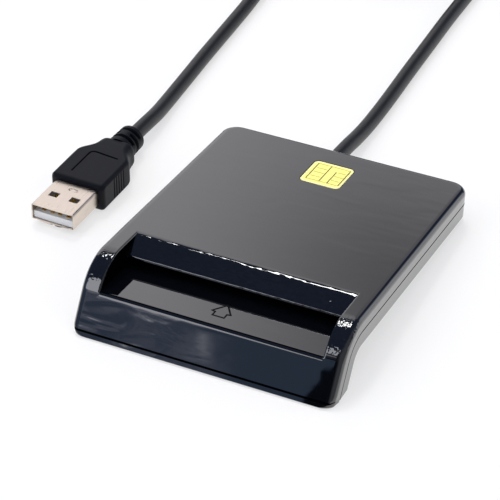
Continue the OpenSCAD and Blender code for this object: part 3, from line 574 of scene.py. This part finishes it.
# %% [markdown]
# The upper cover is one moulding: a rim that runs up the side walls and over the 1.5 mm
# edge, the flat top with a shallow bed for the badge, the sunken card well between its two
# arms, and the strip over the card slot. First comes its layout: rows lie across the case
# at places along the path, closest together where the skin bends, and columns run along it.
# The outline goes round the case and says at each point which way is inwards.

# %% Layout of the upper cover
rear_round = 4.5
well_half, well_at, well_floor = 28, 60, 1.8
rim_round = 0.4
well_edge = well_half + rim_round
badge_at, bed_box = 13, 6.5
badge_rows = (badge_at - bed_box, badge_at + bed_box)
lip_turn = math.radians(61.1)
strip_start = well_at - 1.1
flat_rows = [rear_round, *badge_rows, 30, 40, 50, strip_start, 64, flat_l]
bend_rows = [flat_l + bend_r * math.radians(step) for step in range(4, 61, 4)]
bend_rows += [flat_l + bend_r * lip_turn, bend_end]
front_share = 0.13
foot_shares = (front_share, 0.22, 0.35, 0.5, 0.6, 0.7, 0.78, 0.828, 0.845, 0.862, 0.875, 0.89,
               0.91, 0.93, 0.95, 0.965, 0.98, 0.99, 1)
rows = flat_rows + bend_rows + [bend_end + share for share in foot_shares]
right_columns = [bed_box, 13, 20, well_edge, 28.5]
columns = [-x for x in reversed(right_columns)] + right_columns


def rear_corner(side):
    """The rounded rear corner on that side: across, along, and the way inwards."""
    turns = [math.radians(90 * step / 8) for step in range(1, 8)]
    return [
        (side * (case_half - rear_round + rear_round * math.cos(a)),
         rear_round - rear_round * math.sin(a), -side * math.cos(a), math.sin(a))
        for a in turns
    ]


outline = [
    *((-case_half, along, 1, 0) for along in reversed(rows)), *rear_corner(-1),
    *((x, 0, 0, 1) for x in columns), *reversed(rear_corner(1)),
    *((case_half, along, -1, 0) for along in rows),
]
print(len(rows), "rows,", len(columns), "columns,", len(outline), "points round the case")

# %% [markdown]
# The rim's section starts under the side wall's lower edge, at the seam with the lower
# cover, and rolls over onto the top. It is carried round the outline. The top is then
# filled between rows and columns, apart from the well and the square that holds the badge,
# and the foot is closed below.

# %% Rim, top and sole of the cover
edge_round = 1.5
seam_at, seam_bevel, wall = 3.6, 0.1, 1.2
cover = bmesh.new()
arc = [math.radians(90 * step / 6) for step in range(7)]
rim = [(wall, seam_at), (seam_bevel, seam_at), (0, seam_at - seam_bevel)]
rim += [(edge_round * (1 - math.cos(a)), edge_round * (1 - math.sin(a))) for a in arc]
rim += [(inset, 0) for inset in (2, 2.5, 3, 3.5, rear_round)]
add_grid(cover, [
    [on_case(x + inset * to_x, along + inset * to_s, deep) for inset, deep in rim]
    for x, along, to_x, to_s in outline
], (0, 0, 1))

front_row = bend_end + front_share
for first, last in zip(rows, rows[1:]):
    in_well = strip_start - 0.01 < first < front_row - 0.01
    for left, right in zip(columns, columns[1:]):
        if in_well and right > -well_edge and left < well_edge:
            continue
        if first == badge_rows[0] and left == -bed_box:
            continue
        add_grid(cover, [[on_case(x, along, 0) for x in (left, right)] for along in (first, last)],
                 (0, -1, 1))
sole_columns = [-case_half, -31, *columns, 31, case_half]
add_grid(cover, [[on_case(x, bend_end + 1, deep) for x in sole_columns] for deep in (0, seam_at)],
         (0, 0, -1))
print("rim, top and sole:", len(cover.faces), "faces")

# %% [markdown]
# The badge lies in a bed with rounded corners, 0.2 mm larger than itself all round and 0.4 mm deep.
# The bed's outline is joined to the square around it, then goes down as a wall and in to the middle
# as a floor. The narrow gap beside the badge lies in shade, so the wall and floor of the bed are
# painted shade black.

# %% Bed of the badge
badge_w, badge_l, badge_round = 10.5, 10.9, 1.3
bed_gap, badge_sink = 0.2, 0.4


def quarters(half_w, half_l, radius, steps):
    """A rounded outline round a centre, as the points of each of its four corners."""
    for quarter, (sx, sy) in enumerate(((1, 1), (-1, 1), (-1, -1), (1, -1))):
        turns = [math.radians(90 * quarter + 90 * step / steps) for step in range(steps + 1)]
        yield [(sx * (half_w - radius) + radius * math.cos(a),
                sy * (half_l - radius) + radius * math.sin(a)) for a in turns]


bed = [
    (x, badge_at + y)
    for corner in quarters(badge_w / 2 + bed_gap, badge_l / 2 + bed_gap, badge_round + bed_gap, 5)
    for x, y in corner
]
bed.append(bed[0])
square = [
    (math.copysign(bed_box, x), badge_at + math.copysign(bed_box, along - badge_at))
    for x, along in bed
]
add_grid(cover, [[on_case(x, along, 0) for x, along in line] for line in (square, bed)], (0, 0, 1))
middle = [(0, badge_at)] * len(bed)
bed_faces = add_grid(cover, [
    [on_case(x, along, deep) for x, along in line]
    for line, deep in ((bed, 0), (bed, badge_sink), (middle, badge_sink))
], (0, 0, 1))
# Wall and floor of the bed: painted shade.
for face in bed_faces:
    face.material_index = 1
print("bed of the badge:", len(bed_faces), "faces")

# %% [markdown]
# The strip over the card slot slopes down from the top to a thin rounded lip, runs back
# under itself and ends over the slot. It is drawn as one section, carried across the case
# between the arms.

# %% Strip over the slot
lip_out, lip_drop, lip_thick, lip_under = 5.6, 3, 0.6, 1.2
lip_y, lip_z = -well_at - lip_out, case_h - lip_drop
lip_foot = lip_z - lip_thick
roof_z, slot_top = 6.2, 3.06
throat_front, throat_back = 1 - well_at, 2 - well_at
strip_radii = [0, 4.0, 0.6, 0.22, 0.2]  # at the fold, the lip's nose, its foot and behind it
strip = rounded(
    [(-strip_start, case_h), (-well_at, case_h), (lip_y, lip_z), (lip_y, lip_foot),
     (lip_y + lip_under, lip_foot), (-well_at, roof_z), (throat_front, roof_z),
     (throat_front, slot_top), (throat_back, slot_top), (throat_back, 6.8)],
    strip_radii, 10)
across_well = columns[1:-1]
strip_faces = add_grid(cover, [[leaned(x, y, z) for y, z in strip] for x in across_well],
                       (0, -1, 1))
print("strip:", len(strip_faces), "faces")

# %% [markdown]
# The well's floor runs on under the strip into the dark of the slot, and rises in front
# over a rounded kerb to the foot. Its side walls are as deep as the floor lies under the
# skin at each place, and meet the arms in a fine rounding of 0.4 mm.

# %% Floor and walls of the well
floor_back, kerb_round, kerb_shift = -52, 1.4, 0.088
shaded_kerb_strips = (2, 3)  # the two strips of the kerb that light hardly reaches
foot_top = on_case(0, front_row, 0)
foot_y = (foot_top.y - case_shift) * math.cos(lean) - (foot_top.z - case_lift) * math.sin(lean)
foot_z = (foot_top.y - case_shift) * math.sin(lean) + (foot_top.z - case_lift) * math.cos(lean)
kerb = (-flat_l - bend_r * math.sin(bend) + kerb_shift, well_floor)
floor_line = rounded([(floor_back, well_floor), kerb, (foot_y, foot_z)], [0, kerb_round], 8)
kerb_faces = add_grid(cover, [[leaned(x, y, z) for y, z in floor_line] for x in across_well],
                      (0, 0, 1))
# Two strips of the kerb are painted shade black, which takes away their mirror image.
for at, face in enumerate(kerb_faces):
    if at % (len(floor_line) - 1) in shaded_kerb_strips:
        face.material_index = 1


def well_depth(along):
    """How deep the well's floor lies under the skin, nothing where they meet."""
    turned = max(along - flat_l, 0) / bend_r
    if along >= flat_l + bend_r * lip_turn - 0.001:
        return 0
    return bend_r - (well_floor - case_h + bend_r) / math.cos(turned)


wall_rows = [well_at - 2, *[r for r in rows if strip_start - 0.01 < r < front_row + 0.001]]
under_floor = 0.2
quarter = [math.radians(90 * step / 4) for step in range(5)]
for side in (-1, 1):
    sheet = []
    for along in wall_rows:
        deepest = well_depth(min(along, bend_end))
        foot = deepest + under_floor if deepest else 0
        line = [(well_half + rim_round * (1 - math.sin(a)), rim_round * (1 - math.cos(a)))
                for a in quarter]
        line += [(well_half, 1), (well_half, foot)]
        sheet.append([on_case(side * x, along, min(deep, foot)) for x, deep in line])
    wall_faces = add_grid(cover, sheet, (-side, 0, 0))
    # Below the rounding, each wall is painted shade black.
    for at, face in enumerate(wall_faces):
        if at % (len(line) - 1) >= len(quarter) - 1:
            face.material_index = 1
print("floor and walls:", len(kerb_faces) + 2 * len(wall_faces), "faces")

# %% [markdown]
# A band 0.5 mm high round the fine groove over the sole is painted shade black, so the groove reads
# as a dark line, and the sheets are sewn into one piece that stands for the CAD cover.

# %% Upper cover
groove_z, groove_half, foot_from = 1.59, 0.25, -40
# Painted shade along the groove over the sole.
for face in cover.faces:
    middle = face.calc_center_median() / MM
    if abs(middle.z - groove_z) < groove_half and middle.y < foot_from:
        face.material_index = 1
upper_cover = to_object(cover, "upper_cover", "case", [gloss_black, painted_shade_black])
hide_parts("top_cover")

# %% [markdown]
# Inside the case and on the plug there are many small moulded, plated and printed pieces.
# Each gets a finish of its own kind. They share one recipe: a fine grain, worked out from
# its size in millimetres, that moves the colour between two close tones, moves the
# roughness a little and raises a slight relief. It is the small unevenness that tells the
# eye a moulding from a flat computer colour.

# %% A recipe for grained finishes
def grained(name, tones, grain, roughness, ior=1.5, metallic=0.0, relief=0.02, stretch=(1, 1, 1),
            shine=0.5):
    """A finish between two tones, with grain in mm and a range of roughness."""
    material, tree = new_material(name)
    place = add(tree, "TexCoord")
    scaled = add(tree, "Mapping", {"Vector": (place, "Object"), "Scale": stretch})
    noise = add(tree, "TexNoise", {
        "Vector": (scaled, "Vector"), "Scale": 1 / (grain * MM), "Detail": 4.0,
    })
    tone = add(tree, "Mix", {
        "Factor": (noise, "Fac"), "A": linear(tones[0]), "B": linear(tones[1]),
    }, data_type="RGBA")
    rough = add(tree, "MapRange", {
        "Value": (noise, "Fac"), "To Min": roughness[0], "To Max": roughness[1],
    })
    bump = add(tree, "Bump", {"Height": (noise, "Fac"), "Strength": 0.4, "Distance": relief * MM})
    skin = add(tree, "BsdfPrincipled", {
        "Base Color": (tone, "Result"), "Roughness": (rough, "Result"), "Normal": (bump, "Normal"),
        "Metallic": metallic,
    })
    if not metallic:
        skin.inputs["IOR"].default_value = ior
        skin.inputs["Specular IOR Level"].default_value = shine
    add(tree, "OutputMaterial", {"Surface": (skin, "BSDF")})
    return material


print("a grain of 0.5 mm is a noise scale of", round(1 / (0.5 * MM)), "to the metre")

# %% [markdown]
# The lead is sheathed in matt PVC, drawn round and hardly textured: soft plasticiser on its
# skin leaves it dark with a broad dull sheen. The plug's grip is the same family of
# plastic, moulded over the shell in an eroded tool, so its grain is finer and its sheen
# duller. Nylon, rubber and the wires' coats follow the same recipe.

# %% PVC and moulded plastics
lead_pvc = grained("matt_black_pvc", ("0e0f11", "161719"), 1.6, (0.40, 0.52), 1.52, shine=0.35)
grip_pvc = grained("satin_black_pvc", ("0b0c11", "12141a"), 0.5, (0.46, 0.58), 1.52, relief=0.01,
                   shine=0.11)
black_nylon = grained("black_nylon", ("141416", "1e1e21"), 0.4, (0.35, 0.5), 1.53)
cream_nylon = grained("cream_nylon", ("dfd7c4", "e9e2d2"), 0.8, (0.35, 0.5), 1.53)
white_insulator = grained("white_insulator", ("e8e8e4", "f2f2f0"), 0.8, (0.25, 0.38), 1.53)
foot_rubber = grained("foot_rubber", ("161616", "242424"), 0.5, (0.6, 0.8), 1.52, relief=0.04)
wire_finishes = {
    f"{colour}_wire": grained(f"{colour}_pvc", tones, 0.8, (0.3, 0.42), 1.52)
    for colour, tones in (
        ("red", ("a8160f", "c02018")), ("white", ("dcdcd8", "eaeae6")),
        ("green", ("116a24", "1a7d30")), ("black", ("0c0c0d", "171718")),
    )
}
print(len(bpy.data.materials), "finishes so far")

# %% [markdown]
# Metals keep Blender's own IOR and take their look from their colour and grain. The
# shell is stamped from nickel-plated steel strip, with a faint grain along the strip's
# way through the press. Contacts are gold over nickel, and legs are dipped in tin.

# %% Metals and ceramics
shell_nickel = grained(
    "nickel_plated_steel", ("b9aea3", "c8bcb0"), 0.5, (0.24, 0.34), metallic=1.0, relief=0.004,
    stretch=(1, 0.12, 1))
contact_gold = grained("gold_plate", ("c99b3e", "dcb45a"), 0.6, (0.2, 0.32), metallic=1.0)
tinned = grained("tin_dip", ("a9a9a6", "c4c4c0"), 0.4, (0.3, 0.5), metallic=1.0)
zinc_plate = grained("zinc_plated_steel", ("9fa2a6", "b9bcc0"), 0.5, (0.28, 0.42), metallic=1.0)
tan_ceramic = grained("tan_ceramic", ("8a6c48", "9c7d58"), 0.3, (0.35, 0.5), 1.6)
black_film = grained("black_film", ("101012", "1c1c20"), 0.3, (0.3, 0.45), 1.55)
print(len(bpy.data.materials), "finishes so far")

# %% [markdown]
# The circuit board is glass-fibre sheet under a green lacquer. Its copper tracks lie below
# the lacquer and show through as bundles of lighter, slightly raised lines. The joints of a
# brick pattern make the lines, and a slow noise decides where there are any.

# %% Circuit board
solder_mask, tree = new_material("green_solder_mask")
place = add(tree, "TexCoord")
rows_of_track = add(tree, "TexBrick", {
    "Vector": (place, "Object"), "Scale": 1 / (10 * MM), "Mortar Size": 0.014,
    "Brick Width": 0.85, "Row Height": 0.075,
}, offset=0.37, offset_frequency=3)
bundle = add(tree, "TexNoise", {"Vector": (place, "Object"), "Scale": 1 / (9 * MM), "Detail": 1.0})
routed = add(tree, "MapRange", {"Value": (bundle, "Fac"), "From Min": 0.5, "From Max": 0.52})
track = add(tree, "Math", {0: (rows_of_track, "Fac"), 1: (routed, "Result")}, operation="MULTIPLY")
tone = add(tree, "Mix", {
    "Factor": (track, "Value"), "A": linear("0f4a28"), "B": linear("1f6f40"),
}, data_type="RGBA")
gloss = add(tree, "MapRange", {"Value": (bundle, "Fac"), "To Min": 0.22, "To Max": 0.34})
raised = add(tree, "Bump", {"Height": (track, "Value"), "Strength": 0.5, "Distance": 0.03 * MM})
skin = add(tree, "BsdfPrincipled", {
    "Base Color": (tone, "Result"), "Roughness": (gloss, "Result"), "IOR": 1.5,
    "Normal": (raised, "Normal"),
})
add(tree, "OutputMaterial", {"Surface": (skin, "BSDF")})
print("solder mask takes", len(tree.nodes), "nodes")

# %% [markdown]
# Most pieces keep the shape that comes with the frame and need only their finish. It goes
# into the material slot of each node's object.

# %% Finishes of the carried nodes
finishes = {
    "bottom_cover": gloss_black, "circuit_board": solder_mask, "card_connector": black_nylon,
    "contact_tails": contact_gold, "front_contact_springs": contact_gold,
    "rear_contact_springs": contact_gold, "card_switch_housing": cream_nylon,
    "card_switch_lever": cream_nylon, "controller_chip": black_film,
    "voltage_regulator": black_film, "crystal": zinc_plate, "capacitors": tan_ceramic,
    "resistors": black_film, "lead_socket": cream_nylon, "lead_socket_pins": tinned,
    "lead_connector": cream_nylon, "board_screws": zinc_plate, "case_screws": zinc_plate,
    "rear_bumpers": foot_rubber, "front_pads": foot_rubber, "lead_grommet": lead_pvc,
    "plug_tongue": white_insulator, "plug_contacts": contact_gold, **wire_finishes,
}
for name, finish in finishes.items():
    nodes[name].data.materials.clear()
    nodes[name].data.materials.append(finish)
lead_curve.materials.append(lead_pvc)
print(len(finishes), "carried nodes finished")

# %% [markdown]
# The badge is a pale yellow printed film, 10.5 by 10.9 mm, that shows the contact pads of a
# chip card. Its border is cream, and olive lines part the pads: the long ones are strong,
# the short cross lines faint. The plate comes with the frame. The print is drawn as sheets
# two hundredths of a millimetre above each other, which is about what printing ink is.

# %% Badge
cream_film = grained("cream_film", ("fff6a4", "fff9b2"), 1.2, (0.3, 0.4), 1.5, relief=0.002)
yellow_ink = grained("yellow_ink", ("fff67c", "fff88c"), 1.2, (0.3, 0.4), 1.5, relief=0.002)
faint_ink = grained("faint_olive_ink", ("aca63e", "b6b04a"), 0.6, (0.35, 0.45), 1.5, relief=0.002)
olive_ink = grained("olive_ink", ("4a4508", "575210"), 0.6, (0.35, 0.45), 1.5, relief=0.002)
nodes["chip_badge"].data.materials.clear()
nodes["chip_badge"].data.materials.append(cream_film)

plate_thick = 0.35
plate_top = case_h - badge_sink + plate_thick
yellow, faint, olive = 0, 1, 2
ink_height = (0.01, 0.03, 0.05)
ink = bmesh.new()


def ink_patch(x, y, layer, soft=0.0):
    """A printed rectangle in the badge's own millimetres, its corners cut by soft."""
    corners = [
        (x[0] + soft, y[0]), (x[1] - soft, y[0]), (x[1], y[0] + soft), (x[1], y[1] - soft),
        (x[1] - soft, y[1]), (x[0] + soft, y[1]), (x[0], y[1] - soft), (x[0], y[0] + soft),
    ]
    if not soft:
        corners = corners[::2]
    points = [leaned(px, py - badge_at, plate_top + ink_height[layer]) * MM for px, py in corners]
    face = ink.faces.new([ink.verts.new(point) for point in points])
    face.material_index = layer


frame_x, frame_y = (-4.05, 4.5), (-3.85, 4.3)
line_2, line_3, line_3_end = -0.55, 1.57, 2.1
strong_half, frame_half, short_half = 0.12, 0.1, 0.11
ink_patch((-4.85, 4.85), (-4.8, 4.95), yellow, 0.8)
for y in frame_y:
    ink_patch(frame_x, (y - frame_half, y + frame_half), faint)
for y in (2.2, 0.13, -1.98):
    ink_patch((-3.6, -1.0), (y - short_half, y + short_half), faint)
    ink_patch((2.0, 4.1), (y - 0.05 - short_half, y - 0.05 + short_half), faint)
for x in (*frame_x, line_2):
    ink_patch((x - strong_half, x + strong_half), frame_y, olive)
ink_patch((line_3 - strong_half, line_3 + strong_half), (frame_y[0], line_3_end), olive)
badge_print = to_object(ink, "badge_print", "case", [yellow_ink, faint_ink, olive_ink],
                        weighted=False)

# %% [markdown]
# An arrow on the floor of the well shows which way the card goes. The mould leaves its
# outline as a thin raised line, 0.5 mm wide at its foot, 0.2 mm at its top and 0.12 mm high,
# so that each sloping side mirrors something else than the floor does, and the line shows
# black on black. The line is a small section carried round the corners with mitre joints.

# %% Arrow on the well floor
etched_black = grained("etched_black", ("010102", "040406"), 0.4, (0.45, 0.6), 1.54,
                       shine=0.12)
arrow = [(0.35, -69.3), (2.65, -72.75), (1.8, -72.95), (1.8, -74.5), (-1.15, -74.5),
         (-1.15, -72.95), (-2.0, -72.75)]
ridge_section = [(-0.24, -0.02), (-0.1, 0.12), (0.1, 0.12), (0.24, -0.02)]
ridge = bmesh.new()


def mitred(line, at, off):
    """The corner of a closed line, moved sideways by off, as a mitre joint does."""
    here, before, after = (Vector(line[i % len(line)]) for i in (at, at - 1, at + 1))
    a, b = (here - before).normalized(), (after - here).normalized()
    normal = Vector((-a.y - b.y, a.x + b.x)).normalized()
    return here + normal * off / max(normal.dot(Vector((-a.y, a.x))), 0.3)


add_grid(ridge, [
    [leaned(*mitred(arrow, at % len(arrow), off), well_floor + up) for off, up in ridge_section]
    for at in range(len(arrow) + 1)
], (0, 0, 1))
card_arrow = to_object(ridge, "card_arrow", "case", etched_black, weighted=False, corner=20)

# %% [markdown]
# The plug lies on the floor beside the case. Its shell is folded from thin strip around the white
# insulator, so all of its edges are round, even those of the latch windows. It is drawn as a thin
# skin with its four latch windows left open, two in the top and two in the underside, which is
# turned to the floor, then given its wall and its rounded edges by two modifiers, as a sheet-metal
# worker would think of it.

# %% Plug shell
plug_place = Matrix.Translation((-56.8, -7.5, 0)) @ Matrix.Rotation(math.radians(-1.5), 4, "Z")
plug_mid = 3.7
shell_w, shell_h, shell_round, shell_out, shell_in = 12, 4.5, 0.55, 11.8, 5.5
window_x, window_y = (1.65, 4.15), (4.8, 6.8)


def bar_section(width, height, radius, steps, extra=()):
    """Rounded outline across the plug, centred, with extra points along its top and bottom."""
    points = []
    for at, corner in enumerate(quarters(width / 2, height / 2, radius, steps)):
        points += corner
        if at in (0, 2):
            points += [(x, (1 - at) * height / 2) for x in extra]
    return points


def on_plug(x, y, z):
    """A point of the plug's own frame in the part's frame."""
    return plug_place @ Vector((x, y, z))


splits = (window_x[1], window_x[0], -window_x[0], -window_x[1])
section = bar_section(shell_w, shell_h, shell_round, 4, splits)
section.append(section[0])
shell = bmesh.new()
stations = [0, *window_y, shell_out + shell_in]
add_grid(shell, [[on_plug(x, y, plug_mid + z) for x, z in section] for y in stations], (0, 0, 1))
holes = []
for face in shell.faces:
    middle = plug_place.inverted() @ (face.calc_center_median() / MM)
    inside = window_x[0] < abs(middle.x) < window_x[1] and window_y[0] < middle.y < window_y[1]
    if inside and abs(middle.z - plug_mid) > shell_h / 2 - 0.1:
        holes.append(face)
bmesh.ops.delete(shell, geom=holes, context="FACES")
bmesh.ops.remove_doubles(shell, verts=shell.verts, dist=0.0004 * MM)
bmesh.ops.recalc_face_normals(shell, faces=shell.faces)
plug_skin = to_object(shell, "plug_shell_skin", "case", shell_nickel, weighted=False)
walls = plug_skin.modifiers.new("wall", "SOLIDIFY")
walls.thickness = 0.3 * MM
walls.offset = -1
edges = plug_skin.modifiers.new("edges", "BEVEL")
edges.width = 0.1 * MM
edges.segments = 3
edges.limit_method = "ANGLE"
edges.angle_limit = math.radians(50)
even = plug_skin.modifiers.new("even", "WEIGHTED_NORMAL")
even.keep_sharp = False
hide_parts("plug_shell")

# %% [markdown]
# One more mark of the press is a plain oval dimple in the top of the shell. Its rim is a
# raised ring of the same metal, and a thin dark line beside it stands for the slope that
# turns away from the light. Both are ribbons: a flat raised line through a few points.

# %% Dimple of the shell
def ribbon(name, line, width, height, finish, closed=False):
    """A flat raised line through points of the plug's own frame, with sloping sides."""
    mesh = bmesh.new()
    count = len(line)
    sheet = []
    for at in range(count + (1 if closed else 0)):
        here = Vector(line[at % count])
        before = Vector(line[(at - 1) % count] if closed or at else line[0])
        after = Vector(line[(at + 1) % count] if closed or at + 1 < count else line[-1])
        way = (after - before).normalized()
        side = way.cross(Vector((0, 0, 1))).normalized()
        sheet.append([
            on_plug(*(here + side * off * width / 2 + Vector((0, 0, up * height))))
            for off, up in ((-1, 0), (-0.5, 1), (0.5, 1), (1, 0))
        ])
    add_grid(mesh, sheet, (0, 0, 1))
    return to_object(mesh, name, "case", finish, weighted=False, corner=30)


dimple_x, dimple_y = (0.5, 1.25), (9.3, 0.42)  # middle and half length of each way
oval = []
for step in range(24):
    a = 2 * math.pi * step / 24
    oval.append((dimple_x[0] + dimple_x[1] * math.cos(a), dimple_y[0] + dimple_y[1] * math.sin(a),
                 plug_mid + shell_h / 2 - 0.01))
dimple = ribbon("shell_dimple", oval, width=0.34, height=0.1, finish=shell_nickel, closed=True)
far_side = [(x, y + 0.1, z + 0.1) for x, y, z in oval[1:17]]
dimple_edge = ribbon("dimple_edge", far_side, width=0.16, height=0.02, finish=painted_shade_black)

# %% [markdown]
# The grip is moulded over the shell: broad and square in front, a waist, a neck, then the
# strain relief. The body is a loft: at each station along the plug there is a rounded
# outline of its own width and height. The flanks are a little dished, and the five grip
# grooves in each side are stations whose flanks are drawn in further. In front the grip is
# closed down to the mouth that the shell comes out of.

# %% Body of the plug's grip
grip_w, grip_h = 15, 7.4
grip_start, relief_start, grip_end = 11.8, 32.8, 40.0
width_line = [(grip_start, grip_w), (24.6, 15), (25.4, 14.7), (26.4, 13.6), (27.6, 11.9),
              (28.8, 10.7), (30.2, 10.15), (31.6, 10.0), (relief_start, 9.4)]
height_line = [(grip_start, grip_h), (24.2, 7.4), (27.5, 7.3), (30.5, 7.1), (relief_start, 6.8)]
groove_places = [17.6 + 1.15 * at for at in range(5)]
groove_wide, groove_deep = 0.5, 0.4
dish_span, dish_deep = (13.4, 24.2), 0.12
grip_round, neck_round = 1.0, 0.7
mouth_gap, mouth_round, mouth_deep = 0.1, 0.6, 1.5
front_corner, back_corner, waist_at, waist_long = 1.1, 2.4, 24, 7


def read_line(line, at):
    """The value of a line of (place, value) pairs at a place, even between two pairs."""
    for (a, low), (b, high) in zip(line, line[1:]):
        if at <= b:
            return low + (high - low) * ((at - a) / (b - a))
    return line[-1][1]


stations = {grip_start, 12.0, 12.3, 12.7, 13.2, 17.0, 24.6, 32.2, 32.5, relief_start}
stations |= {25 + 0.4 * at for at in range(18)}
for y in groove_places:
    half = groove_wide / 2
    stations |= {y - half, y - half * 0.5, y + half * 0.5, y + half}
sheet = []
for y in sorted(stations):
    inset = (set_back((y - grip_start) / grip_round, grip_round)
             + set_back((relief_start - y) / neck_round, neck_round))
    width, height = read_line(width_line, y) - 2 * inset, read_line(height_line, y) - 2 * inset
    waist = clamp((y - waist_at) / waist_long)
    radius = front_corner + (back_corner - front_corner) * waist
    in_groove = any(abs(y - at) < groove_wide / 2 - 0.01 for at in groove_places)
    in_dish = dish_span[0] < y < dish_span[1]
    drawn_in = groove_deep if in_groove else dish_deep * in_dish
    row = []
    for x, z in bar_section(width, height, radius, 6):
        if abs(z) < height / 2 - radius + 0.01:
            x -= math.copysign(drawn_in, x)
        row.append(on_plug(x, y, plug_mid + z))
    sheet.append(row + row[:1])
grip = bmesh.new()
add_grid(grip, sheet, (0, 0, 1))
front = bar_section(grip_w - 2 * grip_round, grip_h - 2 * grip_round, front_corner, 6)
mouth = bar_section(shell_w + mouth_gap, shell_h + mouth_gap, mouth_round, 6)
add_grid(grip, [
    [on_plug(x, y, plug_mid + z) for x, z in [*line, line[0]]]
    for y, line in ((grip_start, front), (grip_start, mouth), (grip_start + mouth_deep, mouth))
], (0, -1, 0))
print("grip body of", len(stations), "stations")

# %% [markdown]
# The strain relief bends with the lead, because its rings are slotted in turn on the sides and
# above and below. It is a second loft, of circles. In a slot the circle shrinks to a core, apart
# from two bridges that tie one ring to the next. A thin dark angle on top of the grip is the
# L-shaped groove moulded there, drawn as a flat black ribbon: painted shade.

# %% Strain relief and groove line
relief_from, relief_radius, relief_taper, core_radius = 32.4, 3.75, 0.25, 2.3
slots = [(34.6, 0), (36.3, 1), (38.0, 0)]  # 0: bridges on the sides, 1: above and below
slot_half, slot_steep, bridge_edge, bridge_soft, end_round = 0.55, 2.6, 0.93, 0.08, 0.5
relief_rows = []
for step in range(73):
    y = relief_from + (grip_end - relief_from) * step / 72
    ring = relief_radius - relief_taper * (y - relief_from) / (grip_end - relief_from)
    row = []
    for turn in range(49):
        a = 2 * math.pi * turn / 48
        r = ring
        for at, way in slots:
            near = max(0.0, 1 - abs(y - at) / slot_half)
            bridge = abs(math.sin(a)) if way else abs(math.cos(a))
            open_share = clamp((bridge_edge - bridge) / bridge_soft)
            r -= (ring - core_radius) * min(near * slot_steep, 1) * open_share
        r -= set_back((grip_end - y) / end_round, end_round)
        row.append(on_plug(r * math.cos(a), y, plug_mid + r * math.sin(a)))
    relief_rows.append(row)
add_grid(grip, relief_rows, (0, 0, 1))
add_grid(grip, [relief_rows[-1], [on_plug(0, grip_end, plug_mid)] * 49], (0, 1, 0))
plug_body = to_object(grip, "plug_grip_body", "case", grip_pvc)
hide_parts("plug_grip")

grip_top = plug_mid + grip_h / 2
angle = rounded([(-3.3, 15.0), (-3.25, 25.1), (4.6, 24.5)], [0, 1.2], 6)
# The grip's L-shaped groove, as a ribbon of painted shade.
groove_shade_line = ribbon("grip_line", [(x, y, grip_top - 0.01) for x, y in angle], width=0.6,
                    height=0.02, finish=painted_shade_black)

# %% [markdown]
# A twist tie holds the coil together: a flat strap bent once round its turns, with its
# ends twisted up on top. The strap is a section with four corners, carried once round, and
# the twist is a narrow sheet that turns a sixth of the way round at each step.

# %% Coil tie
low, high, inner, outer = 0.03, 9.45, 15.3, 29.5
strap_half, joint_z, outer_round, inner_round = 1.5, 4, 1.6, 1.3
twist_out, twist_half, twist_step = 22, 0.65, 0.8
twist_z = high + 0.72


def strap_line(inset, bend_round):
    """The strap's way round the turns, as distance from the coil's centre and height."""
    near, far, below, above = inner + inset, outer - inset, low + inset, high - inset
    corners = [(near, joint_z), (near, below), (far, below), (far, above), (near, above),
               (near, joint_z)]
    return rounded(corners, [0] + [bend_round] * 4, 4)


tie = bmesh.new()
strap_rows = []
for face, lining in zip(strap_line(0, outer_round), strap_line(tie_thick, inner_round)):
    ring = [(-strap_half, face), (strap_half, face), (strap_half, lining), (-strap_half, lining)]
    strap_rows.append([(coil_centre[0] + wide, coil_centre[1] + point.x, point.y)
                       for wide, point in [*ring, ring[0]]])
add_grid(tie, strap_rows, (0, 0, 1))
twist = []
for step in range(13):
    a = math.radians(60 * step)
    out, up = twist_half * math.cos(a), twist_half * math.sin(a)
    x, y = coil_centre[0] + twist_step * (step - 6), coil_centre[1] + twist_out
    twist.append([(x, y + out, twist_z + up), (x, y - out, twist_z - up)])
add_grid(tie, twist, (0, 0, 1))
coil_tie = to_object(tie, "coil_tie", "case", black_nylon)
